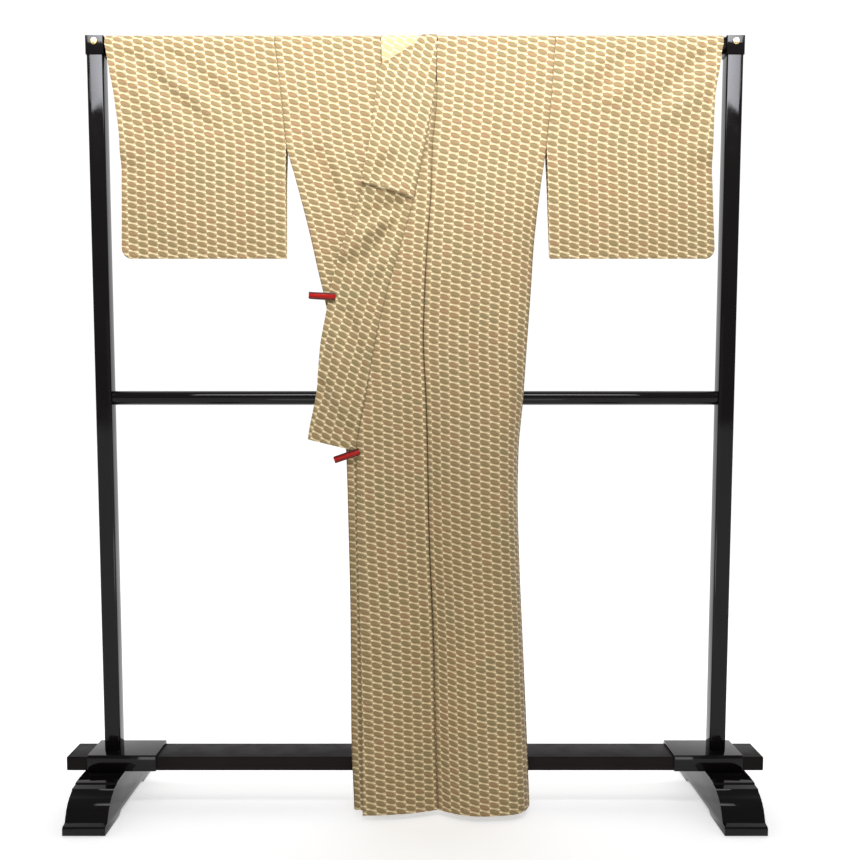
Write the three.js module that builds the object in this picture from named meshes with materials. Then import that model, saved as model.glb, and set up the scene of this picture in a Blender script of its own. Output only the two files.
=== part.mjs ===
// A summer kimono hung by its sleeves on a lacquered display rack.
// Millimetres, +Z up. The rack stands on Z = 0 with its rod along X, and the kimono faces -Y.
// Left and right in the names are the viewer's, seen from the front.
import * as THREE from 'three';

// ---- Rack sizes ----

const rack = {
  rodHeight: 1588,
  rodRadius: 17,
  postX: 652,
  postWidth: 34,
  capWidth: 37.5,
  capHeight: 37,
  topHeight: 1603,
  barHeight: 869,
  barRadius: 14.7,
  beamHalfLength: 742,
  beamDepth: 90,
  beamThickness: 30,
  beamBottom: 77.3,
  saddleX: 624,
  saddleWidth: 146,
  saddleCheek: 4,
  saddleTop: 5,
  footX: 660,
  footWidth: 86,
  studRadius: 7,
  studHeight: 3,
  studDrop: 12,
  postRound: 4,
  capRound: 3,
};

const gap = 0.3;

// ---- Cloth sizes ----

const wall = 1.6;
const hemDrop = 1576;
const armholeDrop = 200;
const sideSeamDrop = 370;
const cuffDrop = 205;
const cuffClosing = 50;
const sleeveDrop = 430;
const frontCut = 240;

// The cloth lies round the rod in layers: bodies and sleeves, then the collar, then the over-collar.
const rodSlack = 0.6;
const onRod = rack.rodRadius + rodSlack + wall / 2;
const collarLift = 2.4;
const overCollarLift = 4.7;

// Rows down the cloth. drop is measured down from the rod's axis; x and y are where the edge runs.

const outerSide = [
  { drop: 0, x: 285, y: -onRod },
  { drop: 100, x: 279, y: -17.4 },
  { drop: 200, x: 270, y: -15.5 },
  { drop: 300, x: 257, y: -14 },
  { drop: 400, x: 246, y: -12.5 },
  { drop: 500, x: 240, y: -15 },
  { drop: 600, x: 233, y: -21 },
  { drop: 720, x: 225, y: -28 },
  { drop: 830, x: 215.5, y: -34 },
  { drop: 920, x: 214, y: -38.5 },
  { drop: 1040, x: 217.5, y: -44 },
  { drop: 1220, x: 225.5, y: -53 },
  { drop: 1400, x: 234, y: -61 },
  { drop: hemDrop, x: 241.5, y: -68 },
];

const frontSeam = [
  { drop: 0, x: 45, y: -onRod },
  { drop: 60, x: 45, y: -20 },
  { drop: 120, x: 43, y: -21.5 },
  { drop: 206, x: 35, y: -24 },
  { drop: 300, x: 32, y: -29 },
  { drop: 400, x: 25, y: -36 },
  { drop: 500, x: 20, y: -43 },
  { drop: 600, x: 17, y: -50 },
  { drop: 720, x: 22.5, y: -58 },
  { drop: 830, x: 25.5, y: -64 },
  { drop: 1000, x: 29, y: -71 },
  { drop: 1220, x: 38, y: -81 },
  { drop: 1400, x: 42, y: -87 },
  { drop: hemDrop, x: 48, y: -94 },
];

const frontEdge = [
  { drop: 0, x: 44.7, y: -onRod },
  { drop: 60, x: 43.4, y: -20 },
  { drop: 75, x: 42, y: -20.4 },
  { drop: 120, x: 35.5, y: -22 },
  { drop: 184, x: 24, y: -24 },
  { drop: 250, x: 10.5, y: -27.5 },
  { drop: 312, x: -2.5, y: -32 },
  { drop: 400, x: -27, y: -40 },
  { drop: 500, x: -57, y: -49 },
  { drop: 600, x: -80, y: -56 },
  { drop: 720, x: -102, y: -60 },
  { drop: 830, x: -120, y: -62 },
  { drop: 970, x: -119.5, y: -78 },
  { drop: 1220, x: -112, y: -104 },
  { drop: 1400, x: -109, y: -116 },
  { drop: hemDrop, x: -108, y: -125 },
];

const collarEdge = [
  { drop: 0, x: 2, y: -onRod - collarLift },
  { drop: 17, x: -25, y: -21.6 },
  { drop: 30, x: -46, y: -22 },
  { drop: 45, x: -70, y: -22.6 },
  { drop: 60, x: -75, y: -22.9 },
  { drop: 104, x: -80, y: -23.4 },
  { drop: 184, x: -91, y: -24.4 },
  { drop: 250, x: -102, y: -25.3 },
  { drop: 295, x: -109.5, y: -26 },
  { drop: 342, x: -126, y: -26.5 },
  { drop: 404, x: -149.5, y: -26 },
  { drop: 467, x: -168, y: -24 },
  { drop: 510, x: -178, y: -23.2 },
  { drop: 560, x: -187, y: -28 },
  { drop: 610, x: -195.5, y: -36 },
  { drop: 672, x: -200.5, y: -46 },
  { drop: 724, x: -206.5, y: -52 },
  { drop: 795, x: -219.5, y: -58 },
  { drop: 830, x: -223, y: -60 },
];

const innerSide = [
  { drop: 0, x: -285, y: -onRod },
  { drop: 100, x: -274, y: -17.4 },
  { drop: 200, x: -264, y: -15.5 },
  { drop: 272, x: -245, y: -15.5 },
  { drop: 337, x: -228, y: -15.5 },
  { drop: 402, x: -212.5, y: -16 },
  { drop: 459, x: -200, y: -18 },
  { drop: 510, x: -188, y: -20 },
  { drop: 620, x: -168, y: -30 },
  { drop: 720, x: -153, y: -44 },
  { drop: 830, x: -142, y: -58 },
  { drop: 970, x: -138, y: -64 },
  { drop: 1220, x: -133.5, y: -76 },
  { drop: 1400, x: -133, y: -84 },
  { drop: hemDrop, x: -127, y: -92 },
];

const innerSeam = [
  { drop: 0, x: -69.5, y: -onRod },
  { drop: 75, x: -66.5, y: -18.6 },
  { drop: 120, x: -60, y: -18.6 },
  { drop: 200, x: -40, y: -18.8 },
  { drop: 300, x: -18, y: -20 },
  { drop: 400, x: 2, y: -22 },
  { drop: 500, x: 24, y: -26 },
  { drop: 620, x: 46, y: -36 },
  { drop: 720, x: 64, y: -46 },
  { drop: 830, x: 78, y: -54 },
  { drop: 1000, x: 86, y: -60 },
  { drop: 1220, x: 94, y: -68 },
  { drop: 1400, x: 98, y: -75 },
  { drop: hemDrop, x: 104, y: -82 },
];

const innerEdge = [
  { drop: 0, x: -69.5, y: -onRod },
  { drop: 75, x: -64, y: -18.6 },
  { drop: 120, x: -53, y: -18.7 },
  { drop: 200, x: -22, y: -19 },
  { drop: 300, x: 12, y: -21 },
  { drop: 400, x: 44, y: -24 },
  { drop: 500, x: 76, y: -29 },
  { drop: 620, x: 112, y: -38 },
  { drop: 720, x: 134, y: -47 },
  { drop: 830, x: 152, y: -56 },
  { drop: 1000, x: 166, y: -63 },
  { drop: 1220, x: 180, y: -72 },
  { drop: 1400, x: 190, y: -80 },
  { drop: hemDrop, x: 200, y: -90 },
];

const innerCollarEdge = [
  { drop: 0, x: 44.2, y: -onRod },
  { drop: 60, x: 42, y: -17.6 },
  { drop: 120, x: 44, y: -17.2 },
  { drop: 200, x: 56, y: -17.6 },
  { drop: 300, x: 78, y: -19.5 },
  { drop: 400, x: 104, y: -23 },
  { drop: 500, x: 134, y: -27.5 },
  { drop: 620, x: 165, y: -34 },
  { drop: 720, x: 185, y: -40 },
  { drop: 820, x: 198, y: -45 },
];

// How far back the flutes of the back panels reach: round the rod, past the middle bar and the beam.
const backReach = [
  { drop: 0, y: onRod },
  { drop: 200, y: 16 },
  { drop: 400, y: 8 },
  { drop: 550, y: -6 },
  { drop: 680, y: -17.5 },
  { drop: 830, y: -20 },
  { drop: 1100, y: -27 },
  { drop: 1300, y: -36 },
  { drop: 1450, y: -47 },
  { drop: hemDrop, y: -47 },
];

// How far each front section bows forward of the straight line between its edges.
const bow = [
  { drop: 0, okumi: 0, collar: 0, inner: 0, innerOkumi: 0 },
  { drop: 200, okumi: 1, collar: 2, inner: 1, innerOkumi: 0 },
  { drop: 400, okumi: 4, collar: 5, inner: 1, innerOkumi: 1 },
  { drop: 510, okumi: 6, collar: 3, inner: 0, innerOkumi: 5 },
  { drop: 720, okumi: 7, collar: 9, inner: 1, innerOkumi: 18 },
  { drop: 830, okumi: 7, collar: 3, inner: 0, innerOkumi: 28 },
  { drop: 1000, okumi: 9, collar: 3, inner: 6, innerOkumi: 30 },
  { drop: 1220, okumi: 9, collar: 3, inner: 12, innerOkumi: 30 },
  { drop: hemDrop, okumi: 8, collar: 3, inner: 14, innerOkumi: 30 },
];

// The sleeve's edges: the one towards the body, free below the armhole, and the cuff's.
const sleeves = {
  left: [
    { drop: 0, free: -285.3, cuff: -631 },
    { drop: 44, free: -280.5, cuff: -624 },
    { drop: 112, free: -273, cuff: -613.5 },
    { drop: armholeDrop, free: -264.3, cuff: -606 },
    { drop: 283, free: -266.5, cuff: -607.5 },
    { drop: sleeveDrop, free: -267, cuff: -611 },
  ],
  right: [
    { drop: 0, free: 285.3, cuff: 627 },
    { drop: 44, free: 283, cuff: 619 },
    { drop: 112, free: 278.4, cuff: 612 },
    { drop: armholeDrop, free: 270.3, cuff: 611.5 },
    { drop: 283, free: 274, cuff: 616 },
    { drop: sleeveDrop, free: 279.5, cuff: 624.5 },
  ],
};

const sleeveGap = [
  { drop: 0, y: onRod },
  { drop: 100, y: 17.4 },
  { drop: 200, y: 15.5 },
  { drop: 300, y: 11 },
  { drop: 390, y: 5 },
  { drop: sleeveDrop, y: wall / 2 + gap / 2 },
];

const sleeveCorner = 22;
const cornerShare = 0.96;
const cuffTaper = 70;

// ---- Curves through the rows ----

// The value of one column at a drop: a smooth curve through the rows, without overshoot.
function along(rows, drop, column) {
  const last = rows.length - 1;
  if (drop <= rows[0].drop) return rows[0][column];
  if (drop >= rows[last].drop) return rows[last][column];
  let i = 0;
  while (rows[i + 1].drop < drop) i += 1;
  const rise = (k) => (rows[k + 1][column] - rows[k][column]) / (rows[k + 1].drop - rows[k].drop);
  const slope = (k) => {
    if (k === 0) return rise(0);
    if (k === last) return rise(last - 1);
    const before = rise(k - 1);
    const after = rise(k);
    return before * after <= 0 ? 0 : (2 * before * after) / (before + after);
  };
  const span = rows[i + 1].drop - rows[i].drop;
  const t = (drop - rows[i].drop) / span;
  const keep = (1 + 2 * t) * (1 - t) * (1 - t);
  const lead = t * (1 - t) * (1 - t) * span;
  const trail = t * t * (t - 1) * span;
  return keep * rows[i][column] + (1 - keep) * rows[i + 1][column]
    + lead * slope(i) + trail * slope(i + 1);
}

function edge(rows, drop) {
  return new THREE.Vector2(along(rows, drop, 'x'), along(rows, drop, 'y'));
}

// A section from one edge to another, bowed to its left as it is walked.
function bowed(from, to, v, depth, shape) {
  const point = from.clone().lerp(to, v);
  const run = to.clone().sub(from);
  const side = new THREE.Vector2(run.y, -run.x).divideScalar(Math.max(run.length(), 1));
  return point.addScaledVector(side, depth * shape(v));
}

const even = (v) => 4 * v * (1 - v);
const early = (v) => 6.75 * v * (1 - v) * (1 - v);
// A lobe that stays full nearly to the side and turns sharply there.
const full = (v) => (v < 0.5 ? even(v) : 1 - Math.abs(2 * v - 1) ** 5);

// With its depth d as a share of the chord, that lobe is longer than the chord by first d + second d d.
const lobeLength = { first: 0.6, second: 4 / 3 };

// ---- The cloth's sections, each walked from 0 to 1 across at a drop ----

const seamLift = wall / 2 + gap / 2;

function sideFront(rows, drop) {
  const point = edge(rows, drop);
  point.y -= seamLift * THREE.MathUtils.smoothstep(drop, armholeDrop, sideSeamDrop);
  return point;
}

function sideBack(rows, drop) {
  const point = edge(rows, drop);
  const closed = THREE.MathUtils.smoothstep(drop, armholeDrop, sideSeamDrop);
  const atSleeve = along(sleeveGap, Math.min(drop, armholeDrop), 'y');
  point.y = THREE.MathUtils.lerp(atSleeve, point.y + seamLift, closed);
  return point;
}

// The outer front hangs flat from the rod, and bows forward as its sides come closer than its cut.
function frontSection(drop, v) {
  const from = edge(frontSeam, drop);
  const to = sideFront(outerSide, drop);
  const chord = from.distanceTo(to);
  const slack = Math.max(frontCut - chord, 0) / chord;
  const { first, second } = lobeLength;
  const share = (Math.sqrt(first * first + 4 * second * slack) - first) / (2 * second);
  return bowed(from, to, v, share * chord * THREE.MathUtils.smoothstep(drop, 60, 420), full);
}

function okumiSection(drop, v) {
  return bowed(edge(frontEdge, drop), edge(frontSeam, drop), v, along(bow, drop, 'okumi'), even);
}

function innerFrontSection(drop, v) {
  return bowed(sideFront(innerSide, drop), edge(innerSeam, drop), v, along(bow, drop, 'inner'), early);
}

function innerOkumiSection(drop, v) {
  return bowed(edge(innerSeam, drop), edge(innerEdge, drop), v, along(bow, drop, 'innerOkumi'), even);
}

// Four flutes, each with its share of the full depth, start this share of the width inside each side.
const fluteDepths = [0.85, 1, 0.8, 0.95];
const fluteMargin = 0.09;

// The back runs between the side seams, with soft flutes that reach back as far as backReach.
function backSection(drop, v) {
  const point = sideBack(innerSide, drop).lerp(sideBack(outerSide, drop), v);
  const across = THREE.MathUtils.clamp((v - fluteMargin) / (1 - 2 * fluteMargin), 0, 1);
  const count = fluteDepths.length;
  const lobe = 0.5 - 0.5 * Math.cos(2 * Math.PI * count * across);
  const depth = fluteDepths[Math.min(Math.floor(across * count), count - 1)];
  point.y += lobe * depth * Math.max(along(backReach, drop, 'y') - wall / 2 - point.y, 0);
  return point;
}

function collarSection(drop, v) {
  const from = edge(collarEdge, drop);
  const to = edge(frontEdge, drop);
  to.x -= gap;
  to.y -= collarLift;
  return bowed(from, to, v, along(bow, drop, 'collar'), even);
}

// The inner collar leaves the inner edge level with it on the rod, and in front of it lower down.
function innerCollarSection(drop, v) {
  const from = edge(innerEdge, drop);
  from.x += gap;
  from.y -= collarLift * THREE.MathUtils.smoothstep(drop, 0, 75);
  return from.lerp(edge(innerCollarEdge, drop), v);
}

// ---- Cloth walls ----

const front = 1;
const back = -1;
const mitreLimit = 0.5;

// The direction across a section at one of its points.
function heading(section, drop, v) {
  const step = 0.01;
  const a = section(drop, Math.max(v - step, 0));
  const b = section(drop, Math.min(v + step, 1));
  return b.sub(a).normalize();
}

// A station is a point of the cloth's middle surface with the direction its outer face looks in.
// Where the section meets a neighbour at a seam, both are mitred and stand half a gap from it.
function station(section, drop, v, { facing = front, lift = 0, seam = null } = {}) {
  const run = heading(section, drop, v);
  let out = new THREE.Vector2(run.y, -run.x);
  const at = section(drop, v);
  if (seam) {
    const other = heading(seam.section, drop, seam.v);
    const otherOut = new THREE.Vector2(other.y, -other.x);
    const half = Math.sqrt((1 + out.dot(otherOut)) / 2);
    out = out.add(otherOut).normalize().divideScalar(Math.max(half, mitreLimit));
    const middle = run.add(other).normalize();
    at.addScaledVector(middle, v < 0.5 ? gap / 2 : -gap / 2);
  }
  out.multiplyScalar(facing);
  at.addScaledVector(out, lift);
  return {
    at: new THREE.Vector3(at.x, at.y, rack.rodHeight - drop),
    out: new THREE.Vector3(out.x, out.y, 0),
  };
}

// Round the rod the cloth turns from the front (0) over the top to the back (1).
function overRod(x, turn, lift = 0) {
  const angle = Math.PI * turn;
  const out = new THREE.Vector3(0, -Math.cos(angle), Math.sin(angle));
  const at = out.clone().multiplyScalar(onRod + lift).add(new THREE.Vector3(x, 0, rack.rodHeight));
  return { at, out };
}

// A closed wall over a grid of stations.
function clothWall(rows) {
  const columns = rows[0].length;
  const positions = [];
  const sides = [wall / 2, -wall / 2];
  for (const reach of sides) {
    for (const row of rows) {
      for (const { at, out } of row) positions.push(...at.clone().addScaledVector(out, reach).toArray());
    }
  }
  const index = (side, i, j) => (side * rows.length + i) * columns + j;
  const faces = [];
  const quad = (a, b, c, d) => faces.push(a, b, c, a, c, d);
  for (let i = 0; i < rows.length - 1; i += 1) {
    for (let j = 0; j < columns - 1; j += 1) {
      quad(index(0, i, j), index(0, i, j + 1), index(0, i + 1, j + 1), index(0, i + 1, j));
      quad(index(1, i, j), index(1, i + 1, j), index(1, i + 1, j + 1), index(1, i, j + 1));
    }
    quad(index(0, i, 0), index(0, i + 1, 0), index(1, i + 1, 0), index(1, i, 0));
    const j = columns - 1;
    quad(index(0, i, j), index(1, i, j), index(1, i + 1, j), index(0, i + 1, j));
  }
  for (let j = 0; j < columns - 1; j += 1) {
    quad(index(0, 0, j), index(1, 0, j), index(1, 0, j + 1), index(0, 0, j + 1));
    const i = rows.length - 1;
    quad(index(0, i, j), index(0, i, j + 1), index(1, i, j + 1), index(1, i, j));
  }
  return outward(positions, faces);
}

// Turns the faces out if the grid was walked the other way round.
function outward(positions, faces) {
  const corner = (k) => new THREE.Vector3().fromArray(positions, 3 * faces[k]);
  let volume = 0;
  for (let k = 0; k < faces.length; k += 3) {
    volume += corner(k).dot(corner(k + 1).cross(corner(k + 2)));
  }
  if (volume < 0) faces.reverse();
  const geometry = new THREE.BufferGeometry();
  geometry.setAttribute('position', new THREE.Float32BufferAttribute(positions, 3));
  geometry.setIndex(faces);
  geometry.computeVertexNormals();
  return geometry;
}

const across = (count) => Array.from({ length: count + 1 }, (_, j) => j / count);
const turnSteps = 8;
const turns = Array.from({ length: turnSteps - 1 }, (_, k) => (k + 1) / turnSteps);
const halfGapTurn = gap / (2 * Math.PI * onRod);

// ---- Cloth pieces ----

const okumiTop = 75;
const upperDrops = [0, okumiTop, 120, armholeDrop];
const lowerDrops = [260, 320, 370, 440, 510, 600, 690, 760, 830, 920, 1040, 1220, 1400, 1465, hemDrop];
const frontDrops = [...upperDrops, ...lowerDrops];
const backDrops = [0, 10, 20, 30, okumiTop, 120, armholeDrop, ...lowerDrops];
const innerCollarEnd = 800;
const bodyColumns = 16;

// The back neckline: how far the body's inner edge stands from the centre seam.
const neckline = [
  { drop: 0, cut: 1 },
  { drop: 10, cut: 0.9 },
  { drop: 20, cut: 0.55 },
  { drop: 30, cut: 0 },
];

// A body is one length from the front hem over the rod to the back hem, walked from its inner edge.
// Its front and its back are two walls that meet on top of the rod.
function bodyPieces(section, okumi, side) {
  const rightHand = side > 0;
  const innerEnd = rightHand ? 0 : 1;
  const outerEnd = 1 - innerEnd;
  const neckCut = side * edge(rightHand ? frontSeam : innerSeam, 0).x;
  const width = outerSide[0].x - innerSide[0].x;
  const frontAt = (drop, v) => {
    const share = Math.abs(innerEnd - v);
    const seam = v === 0 && drop >= okumiTop ? { section: okumi, v: outerEnd } : null;
    return station(section, drop, share, { seam });
  };
  const backAt = (drop, v) => {
    const cut = 0.5 + (side * neckCut * along(neckline, drop, 'cut')) / width;
    const here = station(backSection, drop, THREE.MathUtils.lerp(cut, outerEnd, v), { facing: back });
    here.at.x += v === 0 ? (side * gap) / 2 : 0;
    return here;
  };
  const columns = across(bodyColumns);
  const overTop = (turn) => columns.map((v) => {
    const from = frontAt(0, v).at.x;
    const to = backAt(0, v).at.x;
    return overRod(THREE.MathUtils.lerp(from, to, turn), turn);
  });
  const upFront = [...frontDrops].reverse().map((drop) => columns.map((v) => frontAt(drop, v)));
  const downBack = backDrops.map((drop) => columns.map((v) => backAt(drop, v)));
  const toTop = [...turns.filter((turn) => turn < 0.5), 0.5 - halfGapTurn];
  const fromTop = [0.5 + halfGapTurn, ...turns.filter((turn) => turn > 0.5)];
  return [
    clothWall([...upFront, ...toTop.map(overTop)]),
    clothWall([...fromTop.map(overTop), ...downBack]),
  ];
}

// A sleeve is one length over the rod, sewn along its bottom and up its outer edge to the cuff.
function sleevePiece(rows, bodySide, side) {
  const place = (drop, v, facing) => {
    const low = Math.max(drop - (sleeveDrop - sleeveCorner), 0) / sleeveCorner;
    const round = sleeveCorner * (1 - Math.sqrt(1 - cornerShare * low * low));
    const sewn = drop <= armholeDrop;
    const inner = sewn ? edge(bodySide, drop).x + side * gap : along(rows, drop, 'free');
    const outer = along(rows, drop, 'cuff') - side * round;
    const x = THREE.MathUtils.lerp(inner, outer, v);
    const closed = THREE.MathUtils.smoothstep(drop, cuffDrop, cuffDrop + cuffClosing);
    const near = 1 - THREE.MathUtils.smoothstep(Math.abs(outer - x), 0, cuffTaper);
    const y = THREE.MathUtils.lerp(along(sleeveGap, drop, 'y'), seamLift, closed * near);
    return {
      at: new THREE.Vector3(x, -facing * y, rack.rodHeight - drop),
      out: new THREE.Vector3(0, -facing, 0),
    };
  };
  const columns = [0, 0.2, 0.4, 0.6, 0.75, 0.85, 0.92, 0.97, 1];
  const drops = [...upperDrops, 255, 320, 380, 408, 419, 426, sleeveDrop];
  const grid = [...drops].reverse().map((drop) => columns.map((v) => place(drop, v, front)));
  for (const turn of turns) {
    grid.push(columns.map((v) => overRod(place(0, v, front).at.x, turn)));
  }
  grid.push(...drops.map((drop) => columns.map((v) => place(drop, v, back))));
  return clothWall(grid);
}

// An okumi is the narrow panel between a front and the collar, whole width below the collar's end.
function okumiPiece(section, body, seamEnd) {
  const columns = across(6);
  const drops = frontDrops.filter((drop) => drop >= okumiTop).reverse();
  return clothWall(drops.map((drop) => columns.map((v) => {
    const seam = v === seamEnd ? { section: body, v: 1 - seamEnd } : null;
    return station(section, drop, v, { seam });
  })));
}

// The collar band runs down from behind the neck. Its rows slant, as its lower end does.
function collarPiece(section, columns, drops, lift, overTop) {
  const rows = drops.map(({ edge: atEdge, seam: atSeam }) => columns.map((v) => (
    station(section, THREE.MathUtils.lerp(atEdge, atSeam, v), v, { lift })
  )));
  rows.reverse();
  for (const { turn, edge: atEdge, seam: atSeam } of overTop.turns) {
    rows.push(columns.map((v) => overRod(THREE.MathUtils.lerp(atEdge, atSeam, v), turn, overTop.lift)));
  }
  for (const { drop, edge: atEdge, seam: atSeam } of overTop.behind) {
    rows.push(columns.map((v) => {
      const here = overRod(THREE.MathUtils.lerp(atEdge, atSeam, v), 1, overTop.lift);
      here.at.z -= drop;
      return here;
    }));
  }
  return clothWall(rows);
}

const level = (drop) => ({ edge: drop, seam: drop });
const overNeck = [
  { turn: 1 / 8, edge: 7, seam: 44.5 },
  { turn: 2 / 8, edge: 12, seam: 44.5 },
  { turn: 3 / 8, edge: 16, seam: 44.5 },
  { turn: 4 / 8, edge: 18, seam: 44.5 },
  { turn: 5 / 8, edge: 12, seam: 44.5 },
  { turn: 6 / 8, edge: -4, seam: 45 },
  { turn: 7 / 8, edge: -24, seam: 46.5 },
];
const behindNeck = [
  { drop: 0, edge: -40, seam: 50 },
  { drop: 20, edge: -62, seam: 56 },
  { drop: 42, edge: -72, seam: 60 },
];

function collar() {
  const drops = [0, 17, 30, 45, 75, 120, 200, 260, 320, 370, 440, 510, 560, 600, 650, 700, 750].map(level);
  drops.push({ edge: 804, seam: 828 });
  const over = { lift: collarLift, turns: overNeck, behind: behindNeck };
  return collarPiece(collarSection, across(6), drops, 0, over);
}

function overCollar() {
  const drops = [0, 17, 30, 45, 75, 120, 200, 260].map(level);
  drops.push({ edge: 283, seam: 312 });
  const over = { lift: overCollarLift, turns: overNeck, behind: behindNeck };
  return collarPiece(collarSection, across(6), drops, overCollarLift - collarLift, over);
}

function innerCollar() {
  const drops = [...frontDrops.filter((drop) => drop < innerCollarEnd), innerCollarEnd].map(level);
  const behind = turns.map((turn) => ({ turn, edge: -69.2, seam: 44.2 }));
  return collarPiece(innerCollarSection, across(4), drops, 0, { lift: 0, turns: behind, behind: [] });
}

// ---- Rack pieces ----

function roundedRectangle(width, depth, radius) {
  const shape = new THREE.Shape();
  const x = width / 2;
  const y = depth / 2;
  shape.moveTo(-x + radius, -y);
  shape.lineTo(x - radius, -y);
  shape.absarc(x - radius, -y + radius, radius, -Math.PI / 2, 0);
  shape.lineTo(x, y - radius);
  shape.absarc(x - radius, y - radius, radius, 0, Math.PI / 2);
  shape.lineTo(-x + radius, y);
  shape.absarc(-x + radius, y - radius, radius, Math.PI / 2, Math.PI);
  shape.lineTo(-x, -y + radius);
  shape.absarc(-x + radius, -y + radius, radius, Math.PI, 1.5 * Math.PI);
  return shape;
}

function upright(width, depth, height, radius) {
  const options = { depth: height, bevelEnabled: false, curveSegments: 3 };
  return new THREE.ExtrudeGeometry(roundedRectangle(width, depth, radius), options);
}

// An outline in the YZ plane, drawn out along X about the middle.
function alongX(points, length) {
  const shape = new THREE.Shape(points.map(([y, z]) => new THREE.Vector2(y, z)));
  const geometry = new THREE.ExtrudeGeometry(shape, { depth: length, bevelEnabled: false });
  geometry.translate(0, 0, -length / 2);
  geometry.rotateY(Math.PI / 2);
  geometry.rotateX(Math.PI / 2);
  return geometry;
}

// Half of the foot's side outline, from the middle of its top down over the toe to the arch.
const footProfile = [
  { y: 84, z: 77 },
  { y: 108, z: 75.5 },
  { y: 112, z: 72 },
  { y: 131, z: 71 },
  { y: 135, z: 66.5 },
  { y: 149, z: 60 },
  { y: 160, z: 52 },
  { y: 170, z: 41 },
  { y: 177, z: 28 },
  { y: 181, z: 20 },
  { y: 194, z: 17.5 },
  { y: 197, z: 14 },
  { y: 197, z: 0 },
  { y: 96, z: 0 },
  { y: 84, z: 8 },
];

function footShape() {
  const half = footProfile.map(({ y, z }) => [y, z]);
  const mirrored = [...half].reverse().map(([y, z]) => [-y, z]);
  return alongX([...half, ...mirrored], rack.footWidth);
}

function saddleShape() {
  const y = rack.beamDepth / 2 + gap;
  const outerY = y + rack.saddleCheek;
  const bottom = rack.beamBottom;
  const top = rack.beamBottom + rack.beamThickness + gap;
  const profile = [
    [-outerY, bottom], [-outerY, top + rack.saddleTop], [outerY, top + rack.saddleTop], [outerY, bottom],
    [y, bottom], [y, top], [-y, top], [-y, bottom],
  ];
  return alongX(profile, rack.saddleWidth);
}

function beamShape() {
  const y = rack.beamDepth / 2;
  const low = rack.beamBottom;
  const high = low + rack.beamThickness;
  const edgeCut = 2;
  const profile = [
    [-y, low + edgeCut], [-y, high - edgeCut], [-y + edgeCut, high], [y - edgeCut, high],
    [y, high - edgeCut], [y, low + edgeCut], [y - edgeCut, low], [-y + edgeCut, low],
  ];
  return alongX(profile, 2 * rack.beamHalfLength);
}

function lyingRound(radius, length, sides) {
  const geometry = new THREE.CylinderGeometry(radius, radius, length, sides);
  geometry.rotateZ(Math.PI / 2);
  return geometry;
}

// ---- Clips that hold the wrapped fronts together at the side ----

// A clip is two leaves on a barrel. Its place is the barrel's; the leaves reach to the right of it,
// opened forwards and backwards by the cloth between them.
const clip = { length: 56, width: 14, leaf: 4, barrelRadius: 2.6, barrelLength: 12, tail: 8 };

const clips = [
  { name: 'clip_upper', x: -211, y: -20.5, z: 1080.2, tilt: 3.5, forward: 8, backward: 0 },
  { name: 'clip_lower', x: -157.9, y: -59.3, z: 744.5, tilt: -19, forward: 9.5, backward: 4.5 },
];

function leafShape(side) {
  const leaf = new THREE.BoxGeometry(clip.length, clip.leaf, clip.width);
  leaf.translate(clip.length / 2 - clip.tail, side * (clip.barrelRadius + gap + clip.leaf / 2), 0);
  return leaf;
}

// ---- Materials ----

const materials = {
  cloth: { color: 0xc2ab7c, roughness: 0.9, metalness: 0 },
  lacquer: { color: 0x120d0d, roughness: 0.2, metalness: 0 },
  brass: { color: 0xb08d3c, roughness: 0.35, metalness: 1 },
  clip: { color: 0xb8201c, roughness: 0.35, metalness: 0 },
  steel: { color: 0x8c8c8c, roughness: 0.4, metalness: 1 },
};

function piece(name, geometry, material, position = [0, 0, 0]) {
  const mesh = new THREE.Mesh(geometry, new THREE.MeshStandardMaterial(materials[material]));
  mesh.name = name;
  mesh.position.set(...position);
  return mesh;
}

// ---- Assembly ----

function rackGroup() {
  const group = new THREE.Group();
  const capInner = rack.postX - rack.capWidth / 2;
  const saddleHeight = rack.beamBottom + rack.beamThickness + gap + rack.saddleTop;
  const postBottom = saddleHeight + gap;
  const postTop = rack.topHeight - rack.capHeight - gap;
  const rodLength = 2 * (capInner - gap);
  const barLength = 2 * (rack.postX - rack.postWidth / 2 - gap);
  const rod = lyingRound(rack.rodRadius, rodLength, 24);
  const bar = lyingRound(rack.barRadius, barLength, 20);
  group.add(piece('rod', rod, 'lacquer', [0, 0, rack.rodHeight]));
  group.add(piece('middle_bar', bar, 'lacquer', [0, 0, rack.barHeight]));
  group.add(piece('beam', beamShape(), 'lacquer'));
  for (const [hand, side] of [['left', -1], ['right', 1]]) {
    const x = side * rack.postX;
    const post = upright(rack.postWidth, rack.postWidth, postTop - postBottom, rack.postRound);
    const cap = upright(rack.capWidth, rack.capWidth, rack.capHeight, rack.capRound);
    const stud = new THREE.CylinderGeometry(rack.studRadius, rack.studRadius, rack.studHeight, 16);
    const studY = -(rack.capWidth + rack.studHeight) / 2 - gap;
    group.add(piece(`post_${hand}`, post, 'lacquer', [x, 0, postBottom]));
    group.add(piece(`post_cap_${hand}`, cap, 'lacquer', [x, 0, rack.topHeight - rack.capHeight]));
    group.add(piece(`stud_${hand}`, stud, 'brass', [x, studY, rack.topHeight - rack.studDrop]));
    group.add(piece(`saddle_${hand}`, saddleShape(), 'lacquer', [side * rack.saddleX, 0, 0]));
    group.add(piece(`foot_${hand}`, footShape(), 'lacquer', [side * rack.footX, 0, 0]));
  }
  return group;
}

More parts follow.
